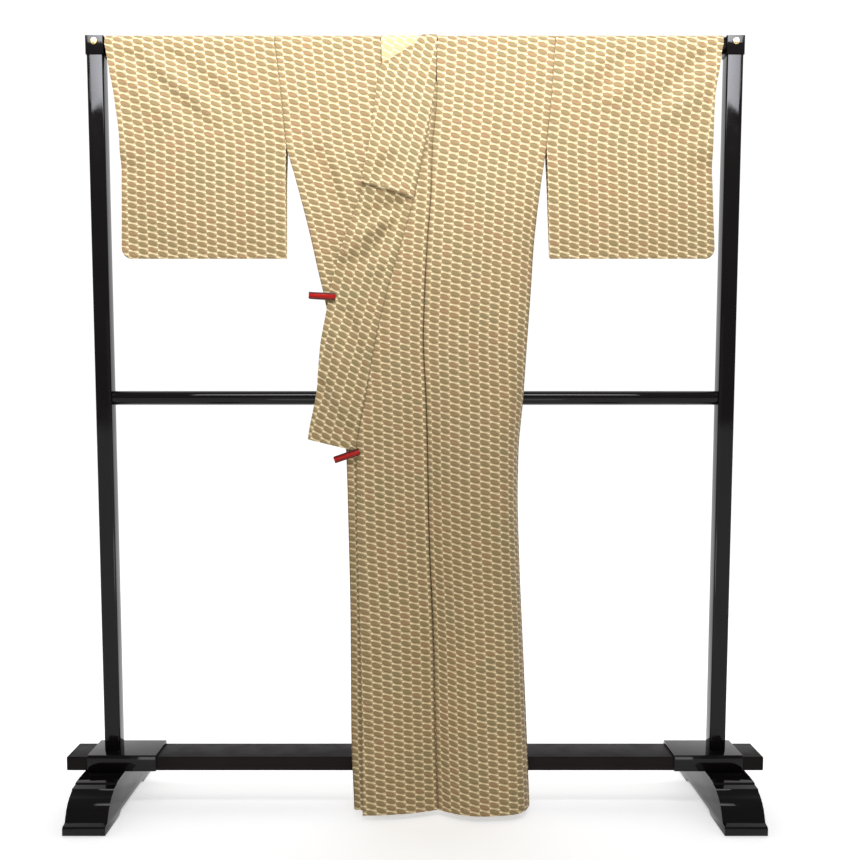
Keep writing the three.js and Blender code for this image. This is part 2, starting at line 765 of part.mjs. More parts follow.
function kimonoGroup() {
  const group = new THREE.Group();
  const [frontRight, backRight] = bodyPieces(frontSection, okumiSection, 1);
  const [frontLeft, backLeft] = bodyPieces(innerFrontSection, innerOkumiSection, -1);
  group.add(piece('front_right', frontRight, 'cloth'), piece('back_right', backRight, 'cloth'));
  group.add(piece('front_left', frontLeft, 'cloth'), piece('back_left', backLeft, 'cloth'));
  group.add(piece('sleeve_right', sleevePiece(sleeves.right, outerSide, 1), 'cloth'));
  group.add(piece('sleeve_left', sleevePiece(sleeves.left, innerSide, -1), 'cloth'));
  group.add(piece('okumi_outer', okumiPiece(okumiSection, frontSection, 1), 'cloth'));
  group.add(piece('okumi_inner', okumiPiece(innerOkumiSection, innerFrontSection, 0), 'cloth'));
  group.add(piece('collar_outer', collar(), 'cloth'));
  group.add(piece('collar_inner', innerCollar(), 'cloth'));
  group.add(piece('over_collar', overCollar(), 'cloth'));
  return group;
}

function clipGroup({ name, x, y, z, tilt, forward, backward }) {
  const group = new THREE.Group();
  const barrel = new THREE.CylinderGeometry(clip.barrelRadius, clip.barrelRadius, clip.barrelLength, 12);
  barrel.rotateX(Math.PI / 2);
  const frontLeaf = piece(`${name}_front_leaf`, leafShape(-1), 'clip');
  const backLeaf = piece(`${name}_back_leaf`, leafShape(1), 'clip');
  frontLeaf.rotation.z = THREE.MathUtils.degToRad(-forward);
  backLeaf.rotation.z = THREE.MathUtils.degToRad(backward);
  group.add(frontLeaf, backLeaf, piece(`${name}_barrel`, barrel, 'steel'));
  group.position.set(x, y, z);
  group.rotation.y = THREE.MathUtils.degToRad(tilt);
  return group;
}

const object = new THREE.Group();
object.add(rackGroup(), kimonoGroup(), ...clips.map(clipGroup));

export default object;
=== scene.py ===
import math

import bpy
import numpy as np
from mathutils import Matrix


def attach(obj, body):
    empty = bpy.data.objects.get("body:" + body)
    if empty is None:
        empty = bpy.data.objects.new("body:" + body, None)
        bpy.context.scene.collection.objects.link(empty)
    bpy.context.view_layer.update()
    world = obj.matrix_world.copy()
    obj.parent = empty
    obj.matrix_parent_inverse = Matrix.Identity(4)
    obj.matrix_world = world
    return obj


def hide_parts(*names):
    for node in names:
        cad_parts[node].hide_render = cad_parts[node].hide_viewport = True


mm = 0.001
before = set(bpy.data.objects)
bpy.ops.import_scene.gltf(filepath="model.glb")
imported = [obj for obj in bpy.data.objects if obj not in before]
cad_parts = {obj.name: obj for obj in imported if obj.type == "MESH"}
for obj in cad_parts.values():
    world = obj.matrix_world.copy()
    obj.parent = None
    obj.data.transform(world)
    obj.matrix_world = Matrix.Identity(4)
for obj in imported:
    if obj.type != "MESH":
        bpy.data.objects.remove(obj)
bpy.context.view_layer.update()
print("frame loaded")

# Sizes

clothSizes = {
    "rodHeight": 1588,  # the rod's axis
    "hemDrop": 1576,
    "armholeDrop": 200,
    "sideSeamDrop": 370,
    "sleeveDrop": 430,
    "sleeveCorner": 22,  # the round corner at a sleeve's foot
    "frontCut": 240,
    "bodyHalf": 286,  # where a sleeve's cloth goes on from the body's
    "okumiCut": 155,
    "sleeveCut": 345,
    "collarCut": 118,
    "onRod": 18.4,  # from the rod's axis to the middle of the cloth
    "collarLift": 1.5,  # how far the collar stands out over the inner one
    "overCollarLift": 2.75,
    "innerCollarLift": 0.55,
    "thickness": 0.7,
    "collarThickness": 1.1,  # the collar is folded double
    "hemWidth": 11,
    "hemStep": 0.35,  # how far a turned hem stands out
    "seamRoll": 2.2,  # how far cloth rolls inward where it is sewn
    "rollWidth": 1.7,
    "okumiTop": 75,  # where the okumi and its seam begin
    "collarEnd": 830,  # below this the okumi's edge is free
    "behindNeck": 42,
    "rowStep": 6.5,
    "columnStep": 6,
}

rodHeight = clothSizes["rodHeight"]
onRod = clothSizes["onRod"]
hemDrop = clothSizes["hemDrop"]
armholeDrop = clothSizes["armholeDrop"]
columnStep = clothSizes["columnStep"]
collarLift = clothSizes["collarLift"]
overTheRod = math.pi * onRod  # the cloth's way over the rod, from the front to the back

# drop is measured down from the rod's axis; x and y are where the edge runs.

outerSide = {
    "drop": [0, 100, 200, 300, 400, 500, 600, 720, 830, 920, 1040, 1220, 1400, hemDrop],
    "x": [285, 279, 270, 257, 246, 240, 233, 225, 215.5, 214, 217.5, 225.5, 234, 241.5],
    "y": [-onRod, -17.4, -15.5, -14, -12.5, -15, -21, -28, -34, -38.5, -44, -53, -61, -68],
}
frontSeam = {
    "drop": [0, 60, 120, 206, 300, 400, 500, 600, 720, 830, 1000, 1220, 1400, hemDrop],
    "x": [45, 45, 43, 35, 32, 25, 20, 17, 22.5, 25.5, 29, 38, 42, 48],
    "y": [-onRod, -20, -21.5, -24, -29, -36, -43, -50, -58, -64, -71, -81, -87, -94],
}
frontEdge = {
    "drop": [0, 60, 75, 120, 184, 250, 312, 400, 500, 600, 720, 830, 970, 1220, 1400, hemDrop],
    "x": [44.7, 43.4, 42, 35.5, 24, 10.5, -2.5, -27, -57, -80, -102, -120, -119.5, -112, -109, -108],
    "y": [-onRod, -20, -20.4, -22, -24, -27.5, -32, -40, -49, -56, -60, -62, -78, -104, -116, -125],
}
collarEdge = {
    "drop": [0, 17, 30, 45, 60, 104, 184, 250, 295, 342, 404, 467, 510, 560, 610, 672, 724, 795, 830],
    "x": [2, -25, -46, -70, -75, -80, -91, -102, -109.5, -126, -149.5, -168, -178, -187, -195.5,
          -200.5, -206.5, -219.5, -223],
    "y": [-onRod - collarLift, -21.6, -22, -22.6, -22.9, -23.4, -24.4, -25.3, -26, -26.5, -26, -24,
          -23.2, -28, -36, -46, -52, -58, -60],
}
innerSide = {
    "drop": [0, 100, 200, 272, 337, 402, 459, 510, 620, 720, 830, 970, 1220, 1400, hemDrop],
    "x": [-285, -274, -264, -245, -228, -212.5, -200, -188, -168, -153, -142, -138, -133.5, -133, -127],
    "y": [-onRod, -17.4, -15.5, -15.5, -15.5, -16, -18, -20, -30, -44, -58, -64, -76, -84, -92],
}
innerDrops = [0, 75, 120, 200, 300, 400, 500, 620, 720, 830, 1000, 1220, 1400, hemDrop]
innerSeam = {
    "drop": innerDrops,
    "x": [-69.5, -66.5, -60, -40, -18, 2, 24, 46, 64, 78, 86, 94, 98, 104],
    "y": [-onRod, -18.6, -18.6, -18.8, -20, -22, -26, -36, -46, -54, -60, -68, -75, -82],
}
innerEdge = {
    "drop": innerDrops,
    "x": [-69.5, -64, -53, -22, 12, 44, 76, 112, 134, 152, 166, 180, 190, 200],
    "y": [-onRod, -18.6, -18.7, -19, -21, -24, -29, -38, -47, -56, -63, -72, -80, -90],
}
innerCollarEdge = {
    "drop": [0, 60, 120, 200, 300, 400, 500, 620, 720, 820],
    "x": [44.2, 42, 44, 56, 78, 104, 134, 165, 185, 198],
    "y": [-onRod, -17.6, -17.2, -17.6, -19.5, -23, -27.5, -34, -40, -45],
}
backReach = {  # how far back the flutes of the back reach
    "drop": [0, 200, 400, 550, 680, 830, 1100, 1300, 1450, hemDrop],
    "y": [onRod, 16, 8, -6, -17.5, -20, -27, -36, -47, -47],
}
bow = {  # how far each front section bows forward
    "drop": [0, 200, 400, 510, 720, 830, 1000, 1220, hemDrop],
    "okumi": [0, 1, 4, 6, 7, 7, 9, 9, 8],
    "collar": [0, 2, 5, 3, 9, 3, 3, 3, 3],
    "inner": [0, 1, 1, 0, 1, 0, 6, 12, 14],
    "innerOkumi": [0, 0, 1, 5, 18, 28, 30, 30, 30],
}
sleeveEdges = {
    "drop": [0, 44, 112, 200, 283, 430],
    "leftFree": [-285.3, -280.5, -273, -264.3, -266.5, -267],
    "leftCuff": [-631, -624, -613.5, -606, -607.5, -611],
    "rightFree": [285.3, 283, 278.4, 270.3, 274, 279.5],
    "rightCuff": [627, 619, 612, 611.5, 616, 624.5],
}
sleeveGap = {"drop": [0, 100, 200, 300, 390, 430], "y": [onRod, 17.4, 15.5, 11, 5, 0.95]}
neckline = {"drop": [0, 10, 20, 30], "cut": [1, 0.9, 0.55, 0], "left": 69.5, "right": 45, "back": 570}
overNeck = {  # the collar's slant edge and its seam, as it turns over the rod
    "turn": [0, 0.125, 0.25, 0.375, 0.5, 0.625, 0.75, 0.875, 1],
    "edge": [2, 7, 12, 16, 18, 12, -4, -24, -40],
    "seam": [44.4, 44.5, 44.5, 44.5, 44.5, 44.5, 45, 46.5, 50],
}
behindNeck = {"drop": [0, 20, clothSizes["behindNeck"]], "edge": [-40, -62, -72], "seam": [50, 56, 60]}
innerOverNeck = {"turn": [0, 0.5, 1], "edge": [-69.2] * 3, "seam": [44.2] * 3}
innerBehind = {"drop": [0, 20, clothSizes["behindNeck"]], "edge": [-69.2, -72, -73], "seam": [44.2, 50, 58]}

# Folds in the cloth: where each starts, passes and ends, seen from the front (x and height above
# the floor), then how far it stands out, below 0 for a trough, and how wide it is.

sleeveFolds = {
    "left": [
        ((-612, 1594), (-510, 1497), (-396, 1403), -9.8, 20),
        ((-608, 1567), (-552, 1492), (-490, 1427), 8, 26),
        ((-562, 1575), (-463, 1487), (-378, 1427), 8, 23),
        ((-520, 1588), (-439, 1518), (-334, 1421), -7.5, 20),
        ((-425, 1565), (-349, 1486), (-304, 1429), 5.5, 20),
        ((-425, 1588), (-353, 1508), (-296, 1421), -5.5, 17),
        ((-560, 1330), (-520, 1270), (-450, 1200), 2.6, 40),
    ],
    "right": [
        ((614, 1592), (533, 1508), (468, 1447), -9.2, 20),
        ((620, 1572), (572, 1493), (477, 1424), 9.2, 26),
        ((505, 1578), (429, 1506), (382, 1458), 6.6, 22),
        ((452, 1584), (404, 1524), (386, 1482), -5.1, 19),
        ((392, 1572), (353, 1530), (330, 1504), 4.9, 19),
        ((560, 1300), (500, 1250), (420, 1205), 2.2, 43),
    ],
}
innerFrontFolds = [
    ((-206, 1390), (-178, 1316), (-146, 1240), -8, 16),
    ((-172, 1380), (-150, 1310), (-128, 1245), 4.8, 15),
    ((-258, 1400), (-232, 1300), (-208, 1190), 2.6, 18),
]
frontFolds = [
    ((76, 1597), (92, 1588), (112, 1573), -1.4, 5),
    ((110, 1480), (112, 1200), (108, 900), 1.7, 20),
    ((190, 1430), (182, 1150), (172, 820), -2, 17),
    ((210, 900), (204, 520), (214, 120), -1.7, 16),
    ((150, 820), (140, 480), (150, 60), 1.7, 24),
    ((82, 760), (84, 460), (92, 90), -1.4, 15),
]
collarFolds = [
    ((-160, 1325), (-42, 1292), (76, 1262), 8, 22),
    ((-40, 1392), (-84, 1350), (-110, 1300), 11.1, 17),
    ((4, 1262), (-60, 1254), (-128, 1216), -10, 19),
    ((-44, 1246), (-110, 1196), (-158, 1140), 12.2, 12),
    ((-14, 1262), (-75, 1184), (-130, 1130), -10, 11),
    ((2, 1228), (-48, 1160), (-106, 1104), 6.9, 11),
    ((-156, 1060), (-124, 994), (-104, 880), -8.1, 10),
    ((-176, 1030), (-158, 960), (-150, 900), 5.3, 12),
    ((-190, 912), (-191, 875), (-190, 838), -8.1, 11),
    ((-164, 890), (-146, 846), (-116, 790), 10.1, 11),
    ((10, 1560), (0, 1500), (-14, 1440), 3.2, 7),
    ((-22, 1545), (-28, 1490), (-40, 1450), -3.2, 7),
]
okumiFolds = [
    ((-66, 1040), (-84, 960), (-92, 860), 2.5, 12),
    ((-30, 700), (-34, 420), (-30, 80), 2, 20),
    ((-74, 640), (-72, 380), (-70, 70), -1.7, 15),
    ((8, 980), (2, 700), (6, 420), -1.7, 12),
]
backFolds = [
    ((-240, 1560), (-190, 1430), (-160, 1250), 4.8, 22),
    ((-120, 1540), (-128, 1380), (-116, 1180), -3.8, 18),
    ((236, 1560), (198, 1420), (172, 1230), 4.8, 22),
    ((120, 1530), (124, 1360), (112, 1160), -3.5, 18),
    ((40, 1500), (46, 1300), (40, 1090), 2.9, 16),
]

# Curves through the tables


def along(table, drop, column, key="drop"):
    # a smooth curve through the rows, without overshoot
    places = np.asarray(table[key], float)
    values = np.asarray(table[column], float)
    rise = np.diff(values) / np.diff(places)
    same = rise[:-1] * rise[1:] > 0
    total = np.where(same, rise[:-1] + rise[1:], 1)
    inner = np.where(same, 2 * rise[:-1] * rise[1:] / total, 0)
    slope = np.concatenate([rise[:1], inner, rise[-1:]])
    at = np.clip(drop, places[0], places[-1])
    i = np.clip(np.searchsorted(places, at, side="right") - 1, 0, len(places) - 2)
    span = places[i + 1] - places[i]
    t = (at - places[i]) / span
    keep = (1 + 2 * t) * (1 - t) ** 2
    curve = t * (1 - t) ** 2 * span * slope[i] + t * t * (t - 1) * span * slope[i + 1]
    return keep * values[i] + (1 - keep) * values[i + 1] + curve


def paired(a, b):
    return np.stack(np.broadcast_arrays(a, b), axis=-1)


def edge(table, drop):
    return paired(along(table, drop, "x"), along(table, drop, "y"))


def smooth(value, low, high):
    t = np.clip((value - low) / (high - low), 0, 1)
    return t * t * (3 - 2 * t)


def mix(a, b, t):
    return a + (b - a) * t


def near(distance, width):
    # 1 on a line and less away from it
    return np.exp(-((distance / width) ** 2))


def bowed(start, end, v, depth, shape):
    # a section from one edge to another, bowed to its left as it is walked
    run = end - start
    length = np.maximum(np.linalg.norm(run, axis=-1, keepdims=True), 1)
    side = np.stack([run[..., 1], -run[..., 0]], axis=-1) / length
    return start + run * v[..., None] + side * (depth * shape(v))[..., None]


def even(v):
    return 4 * v * (1 - v)


def full(v):
    # a lobe that stays full nearly to the side and turns sharply there
    return np.where(v < 0.5, 4 * v * (1 - v), 1 - np.abs(2 * v - 1) ** 5)


def early(v):
    return 6.75 * v * (1 - v) ** 2


# Sections of the cloth

sideLift = 0.6  # how far a front and a back stand apart at their side seam


def sideClosing(drop):
    return smooth(drop, armholeDrop, clothSizes["sideSeamDrop"])


def sideFront(table, drop):
    point = edge(table, drop)
    point[..., 1] -= sideLift * sideClosing(drop)
    return point


def sideBack(table, drop):
    point = edge(table, drop)
    openY = along(sleeveGap, np.minimum(drop, armholeDrop), "y")
    point[..., 1] = mix(openY, point[..., 1] + sideLift, sideClosing(drop))
    return point


lobe = {"share": 0.375, "first": 0.6, "second": 5.333}  # how deep the front bows to take up its cut


def frontSection(drop, v):
    start = edge(frontSeam, drop)
    end = sideFront(outerSide, drop)
    chord = np.linalg.norm(end - start, axis=-1)
    slack = np.maximum(clothSizes["frontCut"] - chord, 0) / chord
    root = np.sqrt(lobe["first"] ** 2 + lobe["second"] * slack)
    depth = lobe["share"] * chord * (root - lobe["first"]) * smooth(drop, 60, 420)
    return bowed(start, end, v, depth, full)


def okumiSection(drop, v):
    return bowed(edge(frontEdge, drop), edge(frontSeam, drop), v, along(bow, drop, "okumi"), even)


def innerFrontSection(drop, v):
    return bowed(sideFront(innerSide, drop), edge(innerSeam, drop), v, along(bow, drop, "inner"), early)


def innerOkumiSection(drop, v):
    return bowed(edge(innerSeam, drop), edge(innerEdge, drop), v, along(bow, drop, "innerOkumi"), even)


flutes = {"depths": [0.85, 1, 0.8, 0.95], "margin": 0.09, "wall": 0.8}


def backSection(drop, v):
    point = mix(sideBack(innerSide, drop), sideBack(outerSide, drop), v[..., None])
    across = np.clip((v - flutes["margin"]) / (1 - 2 * flutes["margin"]), 0, 1)
    count = len(flutes["depths"])
    wave = 0.5 - 0.5 * np.cos(2 * math.pi * count * across)
    depth = np.asarray(flutes["depths"])[np.minimum((across * count).astype(int), count - 1)]
    room = np.maximum(along(backReach, drop, "y") - flutes["wall"] - point[..., 1], 0)
    point[..., 1] += wave * depth * room
    return point


def collarSection(drop, v):
    end = edge(frontEdge, drop)
    end[..., 1] -= collarLift
    return bowed(edge(collarEdge, drop), end, v, along(bow, drop, "collar"), even)


def innerCollarSection(drop, v):
    start = edge(innerEdge, drop)
    start[..., 1] -= collarLift * smooth(drop, 0, clothSizes["okumiTop"])
    return mix(start, edge(innerCollarEdge, drop), v[..., None])


# Grids of points over a piece

edgeSteps = [0, 0.5, 1.2, 2.2, 3.6, 5.6, 8.2, 10.4, 11.6, 14.5]  # closer rows beside a seam or a hem


def graded(width, step, nearEnd=True):
    # distances from 0 to width, close together near the ends that are sewn or hemmed
    start = [d for d in edgeSteps if d < width / 2.2]
    end = [width - d for d in reversed(start)] if nearEnd else [width]
    count = max(int(round((end[0] - start[-1]) / step)), 1)
    middle = np.linspace(start[-1], end[0], count + 1)[1:-1]
    return np.concatenate([start, middle, end])


def columnsOf(cut):
    # how far across its cut each column of a piece stands, from 0 to 1
    return graded(clothSizes[cut], columnStep) / clothSizes[cut]


def lift3d(points, drop):
    # sections are (x, y); this adds the height
    height = np.broadcast_to(rodHeight - drop, points.shape[:-1])
    return np.concatenate([points, height[..., None]], axis=-1)


def gridOf(section, drop, v):
    # a section's points, in height as well, for rows of drops and columns of v
    return lift3d(section(*np.broadcast_arrays(drop, v)), drop)


def overRod(x, turn, radius):
    # from the front (0) over the top to the back (1)
    angle = math.pi * turn
    parts = np.broadcast_arrays(x, -radius * np.cos(angle), rodHeight + radius * np.sin(angle))
    return np.stack(parts, axis=-1)


def normalsOf(points):
    across = np.gradient(points, axis=1)
    up = np.gradient(points, axis=0)
    normal = np.cross(across, up)
    return normal / np.maximum(np.linalg.norm(normal, axis=-1, keepdims=True), 1e-9)


def runAcross(points):
    # distance walked along each row from its first point
    steps = np.linalg.norm(np.diff(points, axis=1), axis=-1)
    return np.concatenate([np.zeros((len(points), 1)), np.cumsum(steps, axis=1)], axis=1)


def foldRelief(points, folds):
    # the height of the folds at each point, from its place seen from the front
    place = points[..., [0, 2]]
    total = np.zeros(points.shape[:-1])
    for *ways, height, width in folds:
        start, via, end = ways = np.array(ways, float)
        reach = 3.2 * width
        close = np.all((place > ways.min(axis=0) - reach) & (place < ways.max(axis=0) + reach), axis=-1)
        if not close.any():
            continue
        at = place[close]
        control = 2 * via - 0.5 * (start + end)
        steps = np.linspace(0, 1, 25)[:, None]
        path = (1 - steps) ** 2 * start + 2 * steps * (1 - steps) * control + steps ** 2 * end
        gaps = np.linalg.norm(at[:, None, :] - path[None], axis=-1)
        nearest = gaps.argmin(axis=1)
        t = steps[nearest, 0]
        fade = smooth(t, 0, 0.18) * (1 - smooth(t, 0.7, 1))
        distance = gaps[np.arange(len(at)), nearest]
        total[close] += height * fade * near(distance, width)
    return total


def drift(points, seed, amount=0.6):
    # long uneven waves, as hanging cloth has
    x = points[..., 0]
    z = points[..., 2]
    wave = np.sin(x / 31 + 1.7 * seed + 0.9 * np.sin(z / 210 + seed))
    wave = wave + 0.8 * np.sin(x / 17 + 0.6 * np.sin(z / 150) + 2.3 * seed)
    wave = wave + 0.9 * np.sin(z / 83 + x / 120 + 0.7 * seed)
    return amount * wave / 2


# Cloth walls


def linked(name, data):
    made = bpy.data.objects.new(name, data)
    bpy.context.collection.objects.link(made)
    return made


def clothWall(name, points, uv, material, thickness, lift, puckerAndShade):
    # a closed thin wall over a grid of points, walked left to right and up the front
    points = points + normalsOf(points) * lift[..., None]
    normal = normalsOf(points)
    rows, columns = points.shape[:2]
    sides = np.concatenate([
        (points + normal * thickness / 2).reshape(-1, 3),
        (points - normal * thickness / 2).reshape(-1, 3),
    ]) * mm
    outer = np.arange(rows * columns).reshape(rows, columns)
    inner = outer + rows * columns

    def quads(a, b, c, d):
        return np.stack([a, b, c, d], axis=-1).reshape(-1, 4)

    faces = np.concatenate([
        quads(outer[:-1, :-1], outer[:-1, 1:], outer[1:, 1:], outer[1:, :-1]),
        quads(inner[:-1, :-1], inner[1:, :-1], inner[1:, 1:], inner[:-1, 1:]),
        quads(inner[0, :-1], inner[0, 1:], outer[0, 1:], outer[0, :-1]),
        quads(outer[-1, :-1], outer[-1, 1:], inner[-1, 1:], inner[-1, :-1]),
        quads(outer[:-1, 0], outer[1:, 0], inner[1:, 0], inner[:-1, 0]),
        quads(inner[:-1, -1], inner[1:, -1], outer[1:, -1], outer[:-1, -1]),
    ])
    mesh = bpy.data.meshes.new(name)
    mesh.vertices.add(len(sides))
    mesh.vertices.foreach_set("co", sides.ravel())
    mesh.loops.add(faces.size)
    mesh.loops.foreach_set("vertex_index", faces.ravel())
    mesh.polygons.add(len(faces))
    mesh.polygons.foreach_set("loop_start", np.arange(0, faces.size, 4))
    mesh.polygons.foreach_set("use_smooth", np.ones(len(faces), bool))
    mesh.update(calc_edges=True)
    layer = mesh.uv_layers.new(name="cloth")
    flat = np.concatenate([uv.reshape(-1, 2)] * 2) * mm
    layer.data.foreach_set("uv", flat[faces.ravel()].ravel())
    # how near each point lies to a seam or a turned edge, for small gathers and for a painted shade line
    shares = mesh.attributes.new("puckerAndShade", "FLOAT", "POINT")
    shares.data.foreach_set("value", np.concatenate([np.clip(puckerAndShade, 0, 1).ravel()] * 2))
    mesh.set_sharp_from_angle(angle=math.radians(50))
    mesh.materials.append(material)
    mesh.validate()
    return linked(name, mesh)


def seamRoll(distance):
    return -clothSizes["seamRoll"] * near(distance, clothSizes["rollWidth"])


def hemRidge(distance):
    width = clothSizes["hemWidth"]
    return clothSizes["hemStep"] * (1 - smooth(distance, width - 1, width + 0.8))


def nearSeam(distance):
    return near(distance, 11)


frontRows = hemDrop - graded(hemDrop, clothSizes["rowStep"], nearEnd=False)  # from the hem up to the rod
turnSteps = np.linspace(0, 1, 17)[1:-1, None]


def lengthAt(frontDrop, backDrop):
    # the cloth's own length at each row, from its front hem over the rod to its back hem
    return np.concatenate([-frontDrop, overTheRod * turnSteps, overTheRod + backDrop])


def bodyPanel(name, material, side, section):
    # one length from the front hem over the rod to the back hem
    right = side > 0
    v = columnsOf("frontCut")[None, :]
    frontDrop = frontRows[:, None]
    frontPart = gridOf(section, frontDrop, v)
    backDrop = np.concatenate([[2, 5, 9, 13, 17, 21, 25, 30, 36], frontRows[::-1][6:]])[:, None]
    neckCut = neckline["right" if right else "left"] / neckline["back"]
    cut = along(neckline, backDrop, "cut") * neckCut
    start = 0.5 + cut if right else np.zeros_like(cut)
    end = np.ones_like(cut) if right else 0.5 - cut
    backPart = gridOf(backSection, backDrop, mix(start, end, v))
    turned = overRod(mix(frontPart[-1, :, 0], backPart[0, :, 0], turnSteps), turnSteps, onRod)
    points = np.concatenate([frontPart, turned, backPart])
    walked = runAcross(points)
    total = walked[:, -1:]
    fromSide = total - walked if right else walked
    fromInner = walked if right else total - walked
    fromCenter = clothSizes["frontCut"] - fromSide
    uv = paired(fromCenter if right else -fromCenter, lengthAt(frontDrop, backDrop))
    isFront = (np.arange(len(points)) < len(frontPart))[:, None]
    isBack = (np.arange(len(points)) >= len(points) - len(backPart))[:, None]
    dropHere = rodHeight - points[..., 2]
    hang = smooth(dropHere, 20, 140)
    folds = foldRelief(points, frontFolds if right else innerFrontFolds) * isFront
    folds = folds + foldRelief(points, backFolds) * isBack
    slit = smooth(dropHere, armholeDrop - 5, armholeDrop) * (1 - smooth(dropHere, 330, 350))
    sewnSide = smooth(dropHere, 0, 10) * (1 - slit)
    sewnFrom = 70 if right else 2
    sewnInner = np.where(isFront, smooth(dropHere, sewnFrom, sewnFrom + 8), 1)
    lift = folds + drift(points, side) * hang * np.where(isFront & (not right), 0.5, 1)
    lift = lift + seamRoll(fromSide) * sewnSide + seamRoll(fromInner) * sewnInner
    lift = lift + hemRidge(hemDrop - dropHere)
    puckerAndShade = nearSeam(fromSide) + nearSeam(fromInner) * sewnInner
    return clothWall(name, points, uv, material, clothSizes["thickness"], lift, puckerAndShade), points


def sleevePanel(name, material, hand, bodySide):
    side = 1 if hand == "right" else -1
    depth = clothSizes["sleeveDrop"]
    corner = clothSizes["sleeveCorner"]
    closeRows = [0, 0.4, 1, 2, 3.4, 5, 7, 9, 10.4, 11.6, 14, 17, 20]
    down = np.append(depth - np.concatenate([closeRows, np.arange(24, depth, 6)]), 0)[:, None]
    drop, v = np.broadcast_arrays(down, columnsOf("sleeveCut")[None, :])
    turn = np.maximum(drop - (depth - corner), 0) / corner
    rounded = corner * (1 - np.sqrt(1 - 0.96 * turn * turn))
    sewnX = along(bodySide, drop, "x") + side * 0.2  # just clear of the body
    innerX = np.where(drop <= armholeDrop, sewnX, along(sleeveEdges, drop, hand + "Free"))
    outerX = along(sleeveEdges, drop, hand + "Cuff") - side * rounded
    x = mix(innerX, outerX, v)
    fromInner = np.abs(x - innerX)
    fromCuff = np.abs(outerX - x)
    closed = smooth(drop, 205, 255) * (1 - smooth(fromCuff, 0, 70))
    y = mix(along(sleeveGap, drop, "y"), 0.9, closed)
    height = rodHeight - drop
    frontPart = np.stack([x, -y, height], axis=-1)
    backPart = np.stack([x, y, height], axis=-1)[::-1]
    points = np.concatenate([frontPart, overRod(x[-1], turnSteps, onRod), backPart])
    topInner = np.broadcast_to(fromInner[-1], (len(turnSteps), v.shape[1]))
    topCuff = np.broadcast_to(fromCuff[-1], topInner.shape)
    fromInner = np.concatenate([fromInner, topInner, fromInner[::-1]])
    fromCuff = np.concatenate([fromCuff, topCuff, fromCuff[::-1]])
    if side < 0:
        points, fromInner, fromCuff = (a[:, ::-1] for a in (points, fromInner, fromCuff))
    uv = paired(side * (fromInner + clothSizes["bodyHalf"]), lengthAt(down, down[::-1]))
    dropHere = rodHeight - points[..., 2]
    isBack = (np.arange(len(points)) > len(points) / 2)[:, None]
    sewnInner = 1 - smooth(dropHere, 196, 201)
    fromBottom = depth - dropHere
    edgeFade = smooth(fromBottom, 0, 30) * smooth(dropHere, 6, 30)
    folds = foldRelief(points, sleeveFolds[hand])
    lift = np.where(isBack, 0.8, 1) * folds * edgeFade + drift(points, 3 + side) * edgeFade
    lift = lift + seamRoll(fromInner) * sewnInner + hemRidge(fromCuff) * edgeFade
    lift = lift + hemRidge(fromInner) * (1 - sewnInner) * edgeFade - 0.35 * near(fromBottom, 2.5)
    puckerAndShade = nearSeam(fromInner) * sewnInner + 0.7 * nearSeam(fromBottom) + 0.5 * nearSeam(fromCuff)
    return clothWall(name, points, uv, material, clothSizes["thickness"], lift, puckerAndShade), points


def okumiPanel(name, material, isOuter, section, folds, uStart):
    # the narrow panel between a front and the collar
    drops = frontRows[frontRows >= clothSizes["okumiTop"]]
    across = columnsOf("okumiCut")
    points = gridOf(section, drops[:, None], across[None, :])
    walked = runAcross(points)
    total = walked[:, -1:]
    fromSeam = total - walked if isOuter else walked
    fromEdge = walked if isOuter else total - walked
    dropHere = np.broadcast_to(drops[:, None], walked.shape)
    uv = paired(uStart - fromSeam if isOuter else uStart + fromSeam, -dropHere)
    free = smooth(dropHere, clothSizes["collarEnd"] - 40, clothSizes["collarEnd"])
    fade = smooth(total, 20, 90)
    lift = foldRelief(points, folds) * fade + drift(points, 1 if isOuter else 2, 0.5) * fade
    lift = lift + seamRoll(fromSeam) * fade + hemRidge(hemDrop - dropHere) + hemRidge(fromEdge) * free
    puckerAndShade = nearSeam(fromSeam) + nearSeam(fromEdge)
    return clothWall(name, points, uv, material, clothSizes["thickness"], lift, puckerAndShade), points


